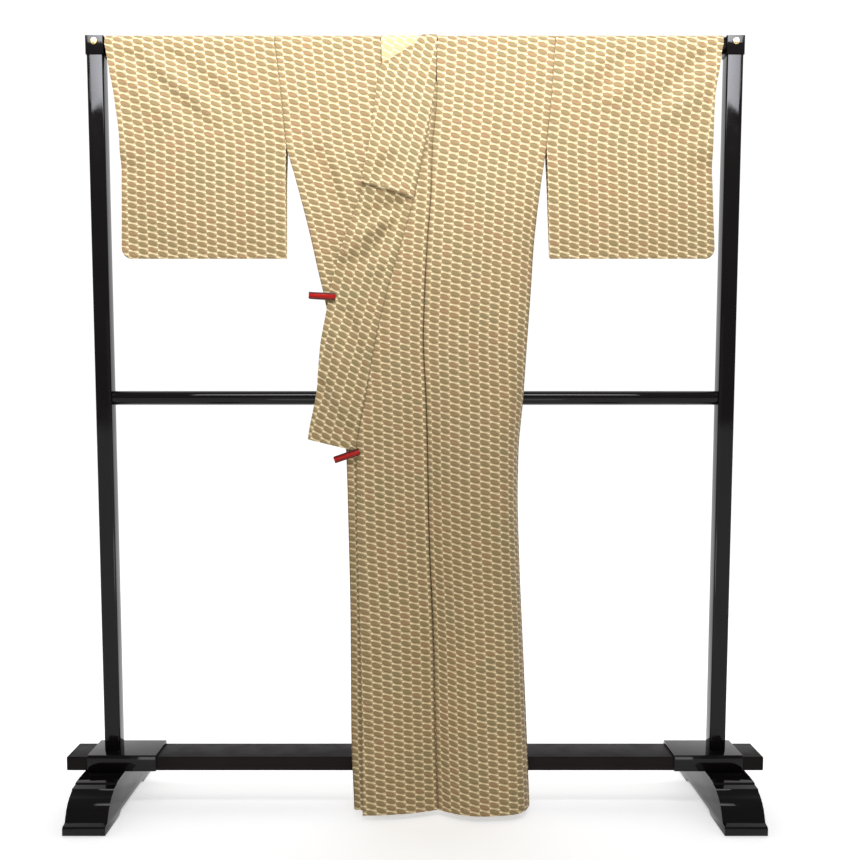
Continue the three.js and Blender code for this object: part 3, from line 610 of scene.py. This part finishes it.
def collarBand(name, material, section, folds, lift, endDrops, neck, behind, uvTurn):
    # the folded band behind the neck and down the front; its lower end slants
    endEdge, endSeam = endDrops
    isOver = name == "overCollar"
    across = columnsOf("collarCut")[None, :]
    closeRows = np.array([0, 0.6, 1.6, 3.2]) / endEdge
    upTo = np.concatenate([closeRows, np.linspace(5.5 / endEdge, 1, int(endEdge / 5.5))])
    drops = (1 - upTo)[:, None] * mix(endEdge, endSeam, across)
    front = lift3d(section(drops, np.broadcast_to(across, drops.shape)), drops)

    def acrossAt(table, at, key):
        return mix(along(table, at, "edge", key), along(table, at, "seam", key), across)

    turns = np.linspace(0, 1, 17)[1:, None]
    over = overRod(acrossAt(neck, turns, "turn"), turns, onRod + lift)
    behindDrops = np.linspace(3, clothSizes["behindNeck"], 9)[:, None]
    back = overRod(acrossAt(behind, behindDrops, "drop"), 1, onRod + lift)
    back[..., 2] -= behindDrops
    points = np.concatenate([front, over, back])
    fromEdge = runAcross(points)
    fromSeam = fromEdge[:, -1:] - fromEdge
    isFront = (np.arange(len(points)) < len(front))[:, None]
    dropHere = np.concatenate([drops, np.zeros(fromEdge[len(front):].shape)])
    walkedOver = np.concatenate([np.zeros((len(front), 1)), overTheRod * turns, overTheRod + behindDrops])
    upward = walkedOver - dropHere
    angle = math.radians(uvTurn)
    x = points[..., 0]
    cos, sin = math.cos(angle), math.sin(angle)
    uv = paired(x * cos - upward * sin, x * sin + upward * cos)
    fade = smooth(dropHere, 20, 70) * isFront
    shape = (foldRelief(points, folds) + drift(points, 5, 0.4)) * fade * smooth(fromSeam, 0, 25)
    # near its seam, and by its fold edge over the neck, a painted shade line
    puckerAndShade = np.maximum(nearSeam(fromSeam), nearSeam(1.6 * fromEdge) * (dropHere < 80))
    if isOver:  # it stands out more, and its end is turned in
        fromEnd = mix(endEdge, endSeam, across) - dropHere
        shape = shape + (lift - collarLift + 2.8 * near(fromEnd, 9)) * isFront
        # a painted shadow line under the over-collar's turned-in end
        puckerAndShade = np.maximum(puckerAndShade, nearSeam(0.6 * fromEnd) * isFront)
    shape = shape - 0.25 * near(fromEdge, 1.2) - 1.8 * near(fromSeam, 2.2) * smooth(dropHere, 30, 90)
    return clothWall(name, points, uv, material, clothSizes["collarThickness"], shape, puckerAndShade), points


# Materials


class Tree:
    # a small helper that adds linked nodes to a material or to the sky
    def __init__(self, owner):
        owner.use_nodes = True
        self.owner = owner
        self.tree = owner.node_tree
        self.shader = self.tree.nodes.get("Principled BSDF")

    def node(self, kind, **settings):
        made = self.tree.nodes.new(kind)
        for key, value in settings.items():
            setattr(made, key, value)
        return made

    def link(self, source, target):
        self.tree.links.new(source, target)

    def feed(self, socket, value):
        if isinstance(value, bpy.types.NodeSocket):
            self.link(value, socket)
        else:
            socket.default_value = value

    def fill(self, made, values, output=0):
        for name, value in values.items():
            self.feed(made.inputs[name], value)
        return made.outputs[output]

    def math(self, operation, *values):
        return self.fill(self.node("ShaderNodeMath", operation=operation), dict(enumerate(values)))

    def plus(self, a, b):
        return self.math("ADD", a, b)

    def minus(self, a, b):
        return self.math("SUBTRACT", a, b)

    def times(self, a, b):
        return self.math("MULTIPLY", a, b)

    def absolute(self, value):
        return self.math("ABSOLUTE", value)

    def fromWhole(self, value):
        # how far a value is from the nearest whole number
        return self.absolute(self.minus(value, self.math("ROUND", value)))

    def split(self, vector):
        made = self.node("ShaderNodeSeparateXYZ")
        self.link(vector, made.inputs[0])
        return made.outputs

    def step(self, value, low, high, start=0.0, end=1.0):
        made = self.node("ShaderNodeMapRange", interpolation_type="SMOOTHSTEP")
        values = {"Value": value, "From Min": low, "From Max": high, "To Min": start, "To Max": end}
        return self.fill(made, values, "Result")

    def mixColor(self, factor, a, b, blend="MIX"):
        made = self.node("ShaderNodeMix", data_type="RGBA", blend_type=blend)
        return self.fill(made, {"Factor": factor, "A": a, "B": b}, "Result")

    def noise(self, vector, scale, detail):
        values = {"Vector": vector, "Scale": scale, "Detail": detail}
        return self.fill(self.node("ShaderNodeTexNoise"), values, "Fac")

    def stretch(self, vector, scale):
        return self.fill(self.node("ShaderNodeMapping"), {"Vector": vector, "Scale": scale}, "Vector")

    def bump(self, height, strength, distance, under=None):
        values = {"Strength": strength, "Distance": distance, "Height": height}
        if under is not None:
            values["Normal"] = under
        return self.fill(self.node("ShaderNodeBump"), values, "Normal")

    def set(self, **values):
        for name, value in values.items():
            self.feed(self.shader.inputs[name.replace("_", " ")], value)


patternLook = {
    "columnPitch": 0.0205,  # one motif across the cloth, in metres
    "rowPitch": 0.0143,
    "columnRise": -0.33,  # each column's motifs stand this share of a row above those to its left
    "columnJitter": 0.14,
    "rowWobble": 0.16,
    "leafHalf": 0.34,  # half a motif's height, as a share of its row
    "leafDip": 0.42,  # how far a motif falls to the right
    "ragged": 0.16,  # how uneven its outline is
    "lineDip": 0.3,
    "rimShare": 0.75,  # how strongly a motif is outlined
    "cream": (0.83, 0.695, 0.435, 1),
    "ground": (0.393, 0.294, 0.152, 1),
    "brown": (0.248, 0.175, 0.08, 1),
    "olive": (0.222, 0.178, 0.084, 1),
    "rust": (0.306, 0.181, 0.089, 1),
    "rim": (0.128, 0.086, 0.035, 1),
    # the colour of the painted shade in the seams' grooves
    "seam": (0.10, 0.075, 0.035, 1),
    "weavePitch": 0.0007,
}


def clothMaterial(name, tint=(1, 1, 1, 1), motifStrength=1.0):
    look = patternLook
    t = Tree(bpy.data.materials.new(name))
    uv = t.node("ShaderNodeUVMap", uv_map="cloth").outputs["UV"]
    place = t.split(uv)
    columnAt = t.math("DIVIDE", place["X"], look["columnPitch"])
    column = t.math("FLOOR", columnAt)
    f = t.minus(columnAt, column)  # from 0 to 1 across a motif
    jitter = t.fill(t.node("ShaderNodeTexWhiteNoise", noise_dimensions="1D"), {"W": column}, "Value")
    offset = t.plus(t.times(column, look["columnRise"]), t.times(jitter, look["columnJitter"]))
    wobble = t.times(t.minus(t.noise(uv, 90, 1), 0.5), look["rowWobble"])
    rowAt = t.plus(t.plus(t.math("DIVIDE", place["Y"], look["rowPitch"]), offset), wobble)
    row = t.math("FLOOR", rowAt)
    g = t.minus(rowAt, row)  # from 0 to 1 up it
    # a leaf that dips to the right, outlined, with a fine cream line between it and the next
    middle = t.minus(0.5 + look["leafDip"] / 2, t.times(f, look["leafDip"]))
    overMiddle = t.minus(g, middle)
    point = t.step(f, 0.4, 0.6, 3.4, 2.1)  # blunt to the left, pointed to the right
    ends = t.math("POWER", t.absolute(t.math("DIVIDE", t.minus(f, 0.47), 0.52)), point)
    half = t.times(look["leafHalf"], t.minus(1.0, t.math("MINIMUM", ends, 1.0)))
    ragged = t.times(t.minus(t.noise(uv, 420, 2), 0.5), look["ragged"])
    inside = t.minus(t.plus(half, ragged), t.fromWhole(overMiddle))
    motif = t.times(t.step(inside, -0.03, 0.05), motifStrength)
    rim = t.times(t.step(inside, 0.13, 0.03), look["rimShare"])
    lineAt = t.minus(1 + look["lineDip"] / 2, t.times(f, look["lineDip"]))
    fromLine = t.fromWhole(t.minus(g, lineAt))  # from the cream line that runs between two motifs
    lineHalf = t.math("MAXIMUM", t.step(f, 0.6, 1.0, 0.04, 0.085), t.step(f, 0.35, 0.0, 0.04, 0.1))
    towardEnds = t.math("MAXIMUM", t.step(f, 0.45, 0.95, 0.75, 1.0), t.step(f, 0.5, 0.08, 0.75, 1.0))
    creamShare = t.times(t.step(t.minus(fromLine, lineHalf), 0.05, -0.05), towardEnds)
    # each motif's own colour, from brown to olive or rust
    cell = t.fill(t.node("ShaderNodeCombineXYZ"), {"X": column, "Y": row})
    draw = t.fill(t.node("ShaderNodeTexWhiteNoise", noise_dimensions="2D"), {"Vector": cell}, "Value")
    warm = t.step(t.plus(t.times(draw, 0.45), t.times(t.noise(uv, 14, 1), 0.9)), 0.62, 0.95)
    green = t.step(t.plus(t.times(draw, 0.5), t.noise(uv, 9, 1)), 0.55, 1.0)
    motifColor = t.mixColor(green, look["brown"], look["olive"])
    motifColor = t.mixColor(t.times(warm, 0.75), motifColor, look["rust"])
    level = t.step(overMiddle, -0.36, 0.1, 0.84, 1.05)
    shade = t.fill(t.node("ShaderNodeCombineColor"), {0: level, 1: level, 2: level})
    motifColor = t.mixColor(1.0, motifColor, shade, "MULTIPLY")
    motifColor = t.mixColor(rim, motifColor, look["rim"])
    color = t.mixColor(creamShare, look["ground"], look["cream"])
    color = t.mixColor(motif, color, motifColor)
    cloud = t.mixColor(t.noise(uv, 5, 3), (0.93, 0.92, 0.9, 1), (1.05, 1.05, 1.06, 1))
    color = t.mixColor(1.0, color, cloud, "MULTIPLY")
    color = t.mixColor(1.0, color, tint, "MULTIPLY")
    # how near a seam or a turned edge lies: it drives the gathers' bump and the painted shade line, whose
    # strength a noise varies
    puckerAndShade = t.node("ShaderNodeAttribute", attribute_name="puckerAndShade").outputs["Fac"]
    seamShade = t.step(puckerAndShade, 0.95, 0.995)  # painted shade: a fine dark line in the groove of a seam or a turned edge
    unevenShade = t.step(t.noise(uv, 160, 1), 0.35, 0.65, 0.25, 0.55)
    color = t.mixColor(t.times(seamShade, unevenShade), color, look["seam"])
    # the weave: warp and weft threads, slubs, and small gathers beside the seams
    threads = t.stretch(uv, (1 / look["weavePitch"],) * 3)
    wave = {"Vector": threads, "Scale": 0.32, "Distortion": 0.6}
    warp, weft = (t.fill(t.node("ShaderNodeTexWave", bands_direction=way), wave, "Fac") for way in "XY")
    gathers = t.times(t.noise(t.stretch(uv, (30, 95, 30)), 1.0, 1), puckerAndShade)
    slub = t.noise(t.stretch(uv, (60, 900, 60)), 1.0, 2)
    normal = t.bump(gathers, 0.7, 0.004)
    normal = t.bump(slub, 0.25, 0.0004, normal)
    normal = t.bump(t.plus(warp, weft), 0.35, 0.00012, normal)
    t.set(Base_Color=color, Roughness=t.plus(t.times(slub, 0.12), 0.72), Normal=normal)
    t.set(Sheen_Weight=0.12, Sheen_Roughness=0.45, Specular_IOR_Level=0.25)
    return t.owner


def startMaterial(name):
    # a new material's tree, and the place on the piece
    t = Tree(bpy.data.materials.new(name))
    return t, t.node("ShaderNodeTexCoord").outputs["Object"]


def lacquerMaterial(name, depth, shine, low, high):
    # black with a little red in it; low and high are the ends of its roughness
    t, place = startMaterial(name)
    dark = (depth, 0.75 * depth, 0.75 * depth, 1)
    light = (2 * depth, 1.6 * depth, 1.6 * depth, 1)
    ripple = t.bump(t.noise(t.stretch(place, (14, 14, 5)), 1.0, 2), 0.25, 0.002)
    t.set(
        Base_Color=t.mixColor(t.noise(place, 6, 3), dark, light),
        Roughness=t.step(t.noise(place, 22, 4), 0.35, 0.75, low, high),
        Normal=t.bump(t.noise(place, 900, 2), 0.04, 0.0002, ripple),
        Specular_IOR_Level=shine,
    )
    return t.owner


def plasticMaterial(name, tilt, center, roughness=0.2):
    # red plastic whose long ribs run along a clip tilted by this many degrees, with painted shade in the
    # ribs' grooves and along the clip's long edges
    t, place = startMaterial(name)
    way = t.split(place)
    angle = math.radians(tilt)
    x = t.minus(way["X"], center[0])
    z = t.minus(way["Z"], center[1])
    across = t.plus(t.times(x, math.sin(angle)), t.times(z, math.cos(angle)))
    fromMiddle = t.absolute(t.minus(across, 0.0006))
    # painted shade: darker in the two grooves along the clip and toward its long edges
    grooved = t.times(t.step(fromMiddle, 0.0016, 0.003), t.step(fromMiddle, 0.0046, 0.0032))
    dark = t.math("MAXIMUM", t.times(grooved, 0.75), t.step(t.absolute(across), 0.0034, 0.0056))
    red = t.mixColor(t.noise(place, 120, 2), (0.34, 0.006, 0.004, 1), (0.44, 0.012, 0.006, 1))
    t.set(
        Base_Color=t.mixColor(dark, red, (0.045, 0.004, 0.003, 1)),
        Roughness=t.step(t.noise(place, 500, 2), 0.3, 0.8, roughness, roughness + 0.12),
        Normal=t.bump(t.minus(1.0, grooved), 0.6, 0.0008),
        Specular_IOR_Level=0.2,
    )
    return t.owner


smallFinishes = {
    "agedBrass": {
        "colors": [(0.62, 0.44, 0.17, 1), (0.86, 0.68, 0.34, 1)], "grain": (160, 3),
        "roughness": (0.22, 0.45), "wear": (300, 3), "metal": 1.0,
    },
    "springSteel": {
        "colors": [(0.38, 0.38, 0.38, 1), (0.6, 0.6, 0.6, 1)], "grain": (200, 2),
        "roughness": (0.25, 0.45), "wear": (700, 2), "metal": 1.0,
    },
    "sewingThread": {
        "colors": [(0.62, 0.52, 0.33, 1), (0.8, 0.7, 0.5, 1)], "grain": (400, 2),
        "roughness": (0.6, 0.8), "wear": (900, 2), "metal": 0.0,
    },
}


def smallMaterial(name):
    look = smallFinishes[name]
    t, place = startMaterial(name)
    t.set(
        Base_Color=t.mixColor(t.noise(place, *look["grain"]), *look["colors"]),
        Roughness=t.step(t.noise(place, *look["wear"]), 0.3, 0.8, *look["roughness"]),
        Metallic=look["metal"],
    )
    return t.owner


# The kimono

printedCloth = clothMaterial("printedCloth")
collarCloth = clothMaterial("collarCloth", (0.98, 1.0, 1.0, 1))
innerCloth = clothMaterial("innerCollarCloth", (1.25, 1.25, 1.25, 1), 0.22)

kimono = {}
points = {}


def keep(make, name, nodes, *settings):
    kimono[name], points[name] = make(name, *settings)
    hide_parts(*nodes)
    print("made", name, len(kimono[name].data.polygons), "faces")


keep(bodyPanel, "bodyRight", ["front_right", "back_right"], printedCloth, 1, frontSection)
keep(bodyPanel, "bodyLeft", ["front_left", "back_left"], printedCloth, -1, innerFrontSection)
keep(sleevePanel, "sleeveRight", ["sleeve_right"], printedCloth, "right", outerSide)
keep(sleevePanel, "sleeveLeft", ["sleeve_left"], printedCloth, "left", innerSide)
keep(okumiPanel, "okumiOuter", ["okumi_outer"], printedCloth, True, okumiSection, okumiFolds, 8)
keep(okumiPanel, "okumiInner", ["okumi_inner"], printedCloth, False, innerOkumiSection, [], 0)
# a collar ends with its lift, end drops, way over the neck and its cloth's slant
keep(collarBand, "collarOuter", ["collar_outer"], collarCloth, collarSection, collarFolds,
     collarLift, (804, 828), overNeck, behindNeck, 15)
keep(collarBand, "overCollar", ["over_collar"], collarCloth, collarSection, collarFolds,
     clothSizes["overCollarLift"], (283, 312), overNeck, behindNeck, 14)
keep(collarBand, "collarInner", ["collar_inner"], innerCloth, innerCollarSection, [],
     clothSizes["innerCollarLift"], (800, 800), innerOverNeck, innerBehind, 12)

for name, piece in kimono.items():
    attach(piece, "root")

# Hand stitches

stitchLook = {
    "spacing": 0.021,  # from one small stitch to the next, in metres
    "length": 0.0026,
    "radius": 0.00024,
    "smallest": 0.75,  # as a share of that length and radius
    "largest": 1.25,
    "seed": 7,
    "lift": 0.0001,  # how far a stitch stands out of the cloth
}


def surfaceOf(name):
    # the outer face of a piece as a grid of places, moved out by a stitch's lift
    rows, columns = points[name].shape[:2]
    flat = np.empty(len(kimono[name].data.vertices) * 3)
    kimono[name].data.vertices.foreach_get("co", flat)
    sides = flat.reshape(2, rows, columns, 3)
    out = sides[0] - sides[1]
    return sides[0] + out / np.linalg.norm(out, axis=-1, keepdims=True) * stitchLook["lift"]


def stitchPaths():
    hem = 7  # the row or column that lies just inside a turned hem
    paths = []
    for name in ("bodyRight", "bodyLeft"):
        surface = surfaceOf(name)
        paths += [surface[hem], surface[-1 - hem]]
    for name in ("okumiOuter", "okumiInner"):
        surface = surfaceOf(name)
        column = hem if name == "okumiOuter" else -1 - hem
        free = points[name][:, 0, 2] < rodHeight - clothSizes["collarEnd"]
        paths += [surface[hem], surface[free, column]]
    for name in ("sleeveRight", "sleeveLeft"):
        surface = surfaceOf(name)
        depth = rodHeight - points[name][:, 0, 2]
        front = np.arange(len(depth)) < len(depth) / 2
        innerColumn, cuffColumn = (hem, -1 - hem) if name == "sleeveRight" else (-1 - hem, hem)
        for half in (front, ~front):
            for column, top in ((innerColumn, armholeDrop + 5), (cuffColumn, 30)):
                paths.append(surface[half & (depth > top) & (depth < 400), column])
    paths.append(surfaceOf("overCollar")[4])
    return paths


def stitchTree():
    # a short thread laid at even steps along every path
    tree = bpy.data.node_groups.new("handStitches", "GeometryNodeTree")
    sockets = tree.interface
    sockets.new_socket("Geometry", in_out="INPUT", socket_type="NodeSocketGeometry")
    labels = {
        "Spacing": "Float", "Length": "Float", "Radius": "Float", "Smallest": "Float",
        "Largest": "Float", "Seed": "Int", "Thread": "Material",
    }
    ids = {}
    for label, kind in labels.items():
        made = sockets.new_socket(label, in_out="INPUT", socket_type="NodeSocket" + kind)
        ids[label] = made.identifier
    sockets.new_socket("Geometry", in_out="OUTPUT", socket_type="NodeSocketGeometry")
    kinds = {
        "given": "NodeGroupInput", "curve": "GeometryNodeMeshToCurve", "even": "GeometryNodeResampleCurve",
        "tangent": "GeometryNodeInputTangent", "turn": "FunctionNodeAlignRotationToVector",
        "thread": "GeometryNodeMeshCylinder", "place": "GeometryNodeInstanceOnPoints",
        "scale": "FunctionNodeRandomValue", "whole": "GeometryNodeRealizeInstances",
        "dye": "GeometryNodeSetMaterial", "result": "NodeGroupOutput",
    }
    nodes = {key: tree.nodes.new(kind) for key, kind in kinds.items()}
    nodes["even"].mode = "LENGTH"
    nodes["turn"].axis = "Z"
    nodes["scale"].data_type = "FLOAT"
    nodes["thread"].inputs["Vertices"].default_value = 6

    def socket(side, name):
        # the enabled socket of that name, as some nodes hold one for each kind of value
        return next(item for item in side if item.name == name and item.enabled)

    for source, output, target, name in (
            ("given", "Geometry", "curve", "Mesh"), ("curve", "Curve", "even", "Curve"),
            ("given", "Spacing", "even", "Length"), ("even", "Curve", "place", "Points"),
            ("tangent", "Tangent", "turn", "Vector"), ("turn", "Rotation", "place", "Rotation"),
            ("given", "Length", "thread", "Depth"), ("given", "Radius", "thread", "Radius"),
            ("thread", "Mesh", "place", "Instance"), ("given", "Seed", "scale", "Seed"),
            ("given", "Smallest", "scale", "Min"), ("given", "Largest", "scale", "Max"),
            ("scale", "Value", "place", "Scale"), ("place", "Instances", "whole", "Geometry"),
            ("whole", "Geometry", "dye", "Geometry"), ("given", "Thread", "dye", "Material"),
            ("dye", "Geometry", "result", "Geometry")):
        tree.links.new(socket(nodes[source].outputs, output), socket(nodes[target].inputs, name))
    return tree, ids


def asMesh(piece, keepLayers=False):
    # the piece as its modifiers leave it, as a plain mesh
    graph = bpy.context.evaluated_depsgraph_get()
    how = {"preserve_all_data_layers": True, "depsgraph": graph} if keepLayers else {}
    made = bpy.data.meshes.new_from_object(piece.evaluated_get(graph), **how)
    piece.modifiers.clear()
    piece.data = made
    return made


def handStitches(material):
    paths = stitchPaths()
    starts = np.cumsum([0] + [len(path) for path in paths])
    edges = [(i, i + 1) for a, b in zip(starts[:-1], starts[1:]) for i in range(a, b - 1)]
    mesh = bpy.data.meshes.new("stitchPaths")
    mesh.from_pydata(np.concatenate(paths).tolist(), edges, [])
    piece = linked("handStitches", mesh)
    tree, ids = stitchTree()
    modifier = piece.modifiers.new("stitches", "NODES")
    modifier.node_group = tree
    for label, key in ids.items():
        modifier[key] = material if label == "Thread" else stitchLook[label.lower()]
    asMesh(piece, keepLayers=True)
    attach(piece, "root")
    print("made handStitches", len(piece.data.polygons), "faces")


handStitches(smallMaterial("sewingThread"))

# The rack and the clips


rackRound = {  # how far each lacquered piece's edges are rounded
    "rod": 0.8, "middle_bar": 0.8, "beam": 1.6,
    "post_left": 2.5, "post_right": 2.5, "post_cap_left": 1.6, "post_cap_right": 1.6,
    "saddle_left": 1.6, "saddle_right": 1.6, "foot_left": 1.6, "foot_right": 1.6,
}


def copyOf(node, material, edgeRound, segments=3):
    # a copy of a part's solid, merged, with its edges rounded
    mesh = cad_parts[node].data.copy()
    mesh.name = node + "Shape"
    mesh.materials.clear()
    mesh.materials.append(material)
    piece = linked(node.replace("_", "-"), mesh)
    weld = piece.modifiers.new("weld", "WELD")
    weld.merge_threshold = 0.00005
    bevel = piece.modifiers.new("bevel", "BEVEL")
    bevel.width = edgeRound * mm
    bevel.segments = segments
    bevel.limit_method = "ANGLE"
    bevel.angle_limit = math.radians(25)
    made = asMesh(piece)
    made.polygons.foreach_set("use_smooth", np.ones(len(made.polygons), bool))
    made.set_sharp_from_angle(angle=math.radians(32))
    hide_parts(node)
    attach(piece, "root")
    return piece


lacquer = lacquerMaterial("blackLacquer", 0.0028, 0.24, 0.05, 0.12)
satinLacquer = lacquerMaterial("satinLacquer", 0.0095, 0.03, 0.34, 0.46)
brass = smallMaterial("agedBrass")
steel = smallMaterial("springSteel")
clipPlastic = {
    "upper": plasticMaterial("redPlasticUpper", 3.5, (-0.211, 1.0802)),
    "lower": plasticMaterial("redPlasticLower", -19, (-0.1579, 0.7445)),
}

for node, edgeRound in rackRound.items():
    copyOf(node, satinLacquer if node == "beam" else lacquer, edgeRound)
for hand in ("left", "right"):
    copyOf("stud_" + hand, brass, 1.1, 4)
for place in ("upper", "lower"):
    for leaf in ("front_leaf", "back_leaf"):
        copyOf(f"clip_{place}_{leaf}", clipPlastic[place], 1.2)
    copyOf(f"clip_{place}_barrel", steel, 0.5, 2)
print("rack and clips made")

# Floor, lights and camera

stage = {
    "floorHalf": 20,
    "floorGlow": 0.5,
    "cameraPlace": (0, -2.2, 0.876),
    "cameraTilt": 4.97,  # degrees below level
    "lens": 43.53,
    "shift": (0.0174, 0.064),
    "skyBehind": 1.05,
    "skyAtFloor": 0.97,  # how much of that is left where the sky meets the floor
    "skyAbove": 0.3,
    "skyFront": 0.25,
}

lamps = {  # a narrow spread, in degrees, keeps most of the key light off the floor
    "key": {
        "place": (0, -0.88, 2.2), "aim": (0, 0, 1.62), "size": (2.2, 0.5),
        "power": 17.4, "spread": 84, "color": (0.97, 0.98, 1.05),
    },
    "fill": {
        "place": (0, -3.2, 0.7), "aim": (0, 0, 0.1), "size": (2.4, 1.6),
        "power": 2.0, "spread": 160, "color": (1, 1, 1),
    },
    "low": {
        "place": (0, -1.25, 0.16), "aim": (0, 0, 0.2), "size": (1.4, 0.25),
        "power": 2.0, "spread": 120, "color": (1, 1, 1),
    },
}


def makeFloor():
    half = stage["floorHalf"]
    corners = [(-half, -half, 0), (half, -half, 0), (half, half, 0), (-half, half, 0)]
    mesh = bpy.data.meshes.new("floor")
    mesh.from_pydata(corners, [], [(0, 1, 2, 3)])
    t, place = startMaterial("paleFloor")
    t.set(
        Base_Color=t.mixColor(t.noise(place, 0.8, 2), (0.92, 0.92, 0.92, 1), (0.95, 0.95, 0.95, 1)),
        Roughness=0.7,
        Emission_Color=(1, 1, 1, 1),
        Emission_Strength=stage["floorGlow"],
    )
    mesh.materials.append(t.owner)
    linked("floor", mesh)


def areaLight(name, look):
    light = bpy.data.lights.new(name, "AREA")
    light.shape = "RECTANGLE"
    light.size, light.size_y = look["size"]
    light.energy = look["power"]
    light.spread = math.radians(look["spread"])
    light.color = look["color"]
    lamp = linked(name, light)
    lamp.location = look["place"]
    aim = np.subtract(look["aim"], look["place"])
    flat = math.hypot(aim[0], aim[1])
    lamp.rotation_euler = (math.pi / 2 + math.atan2(aim[2], flat), 0, math.atan2(-aim[0], aim[1]))


def studioSky():
    # white behind the rack and overhead, dim in front of it
    world = bpy.data.worlds.new("studio")
    bpy.context.scene.world = world
    t = Tree(world)
    way = t.split(t.node("ShaderNodeTexCoord").outputs["Generated"])
    behind = t.step(way["Y"], -0.1, 0.5, stage["skyFront"], stage["skyBehind"])
    sweep = t.step(way["Z"], -0.03, 0.09, stage["skyAtFloor"], 1)
    above = t.step(way["Z"], 0.35, 0.9, 0, stage["skyAbove"])
    strength = t.math("MAXIMUM", t.times(behind, sweep), above)
    t.fill(t.tree.nodes["Background"], {"Color": (1, 1, 1, 1), "Strength": strength})


def makeCamera():
    view = bpy.data.cameras.new("view")
    view.lens = stage["lens"]
    view.sensor_width = 36
    view.shift_x, view.shift_y = stage["shift"]
    camera = linked("view", view)
    camera.location = stage["cameraPlace"]
    camera.rotation_euler = (math.radians(90 - stage["cameraTilt"]), 0, 0)
    bpy.context.scene.camera = camera


makeFloor()
for name, look in lamps.items():
    areaLight(name, look)
studioSky()
bpy.context.scene.view_settings.view_transform = "Standard"
makeCamera()
print("stage made")
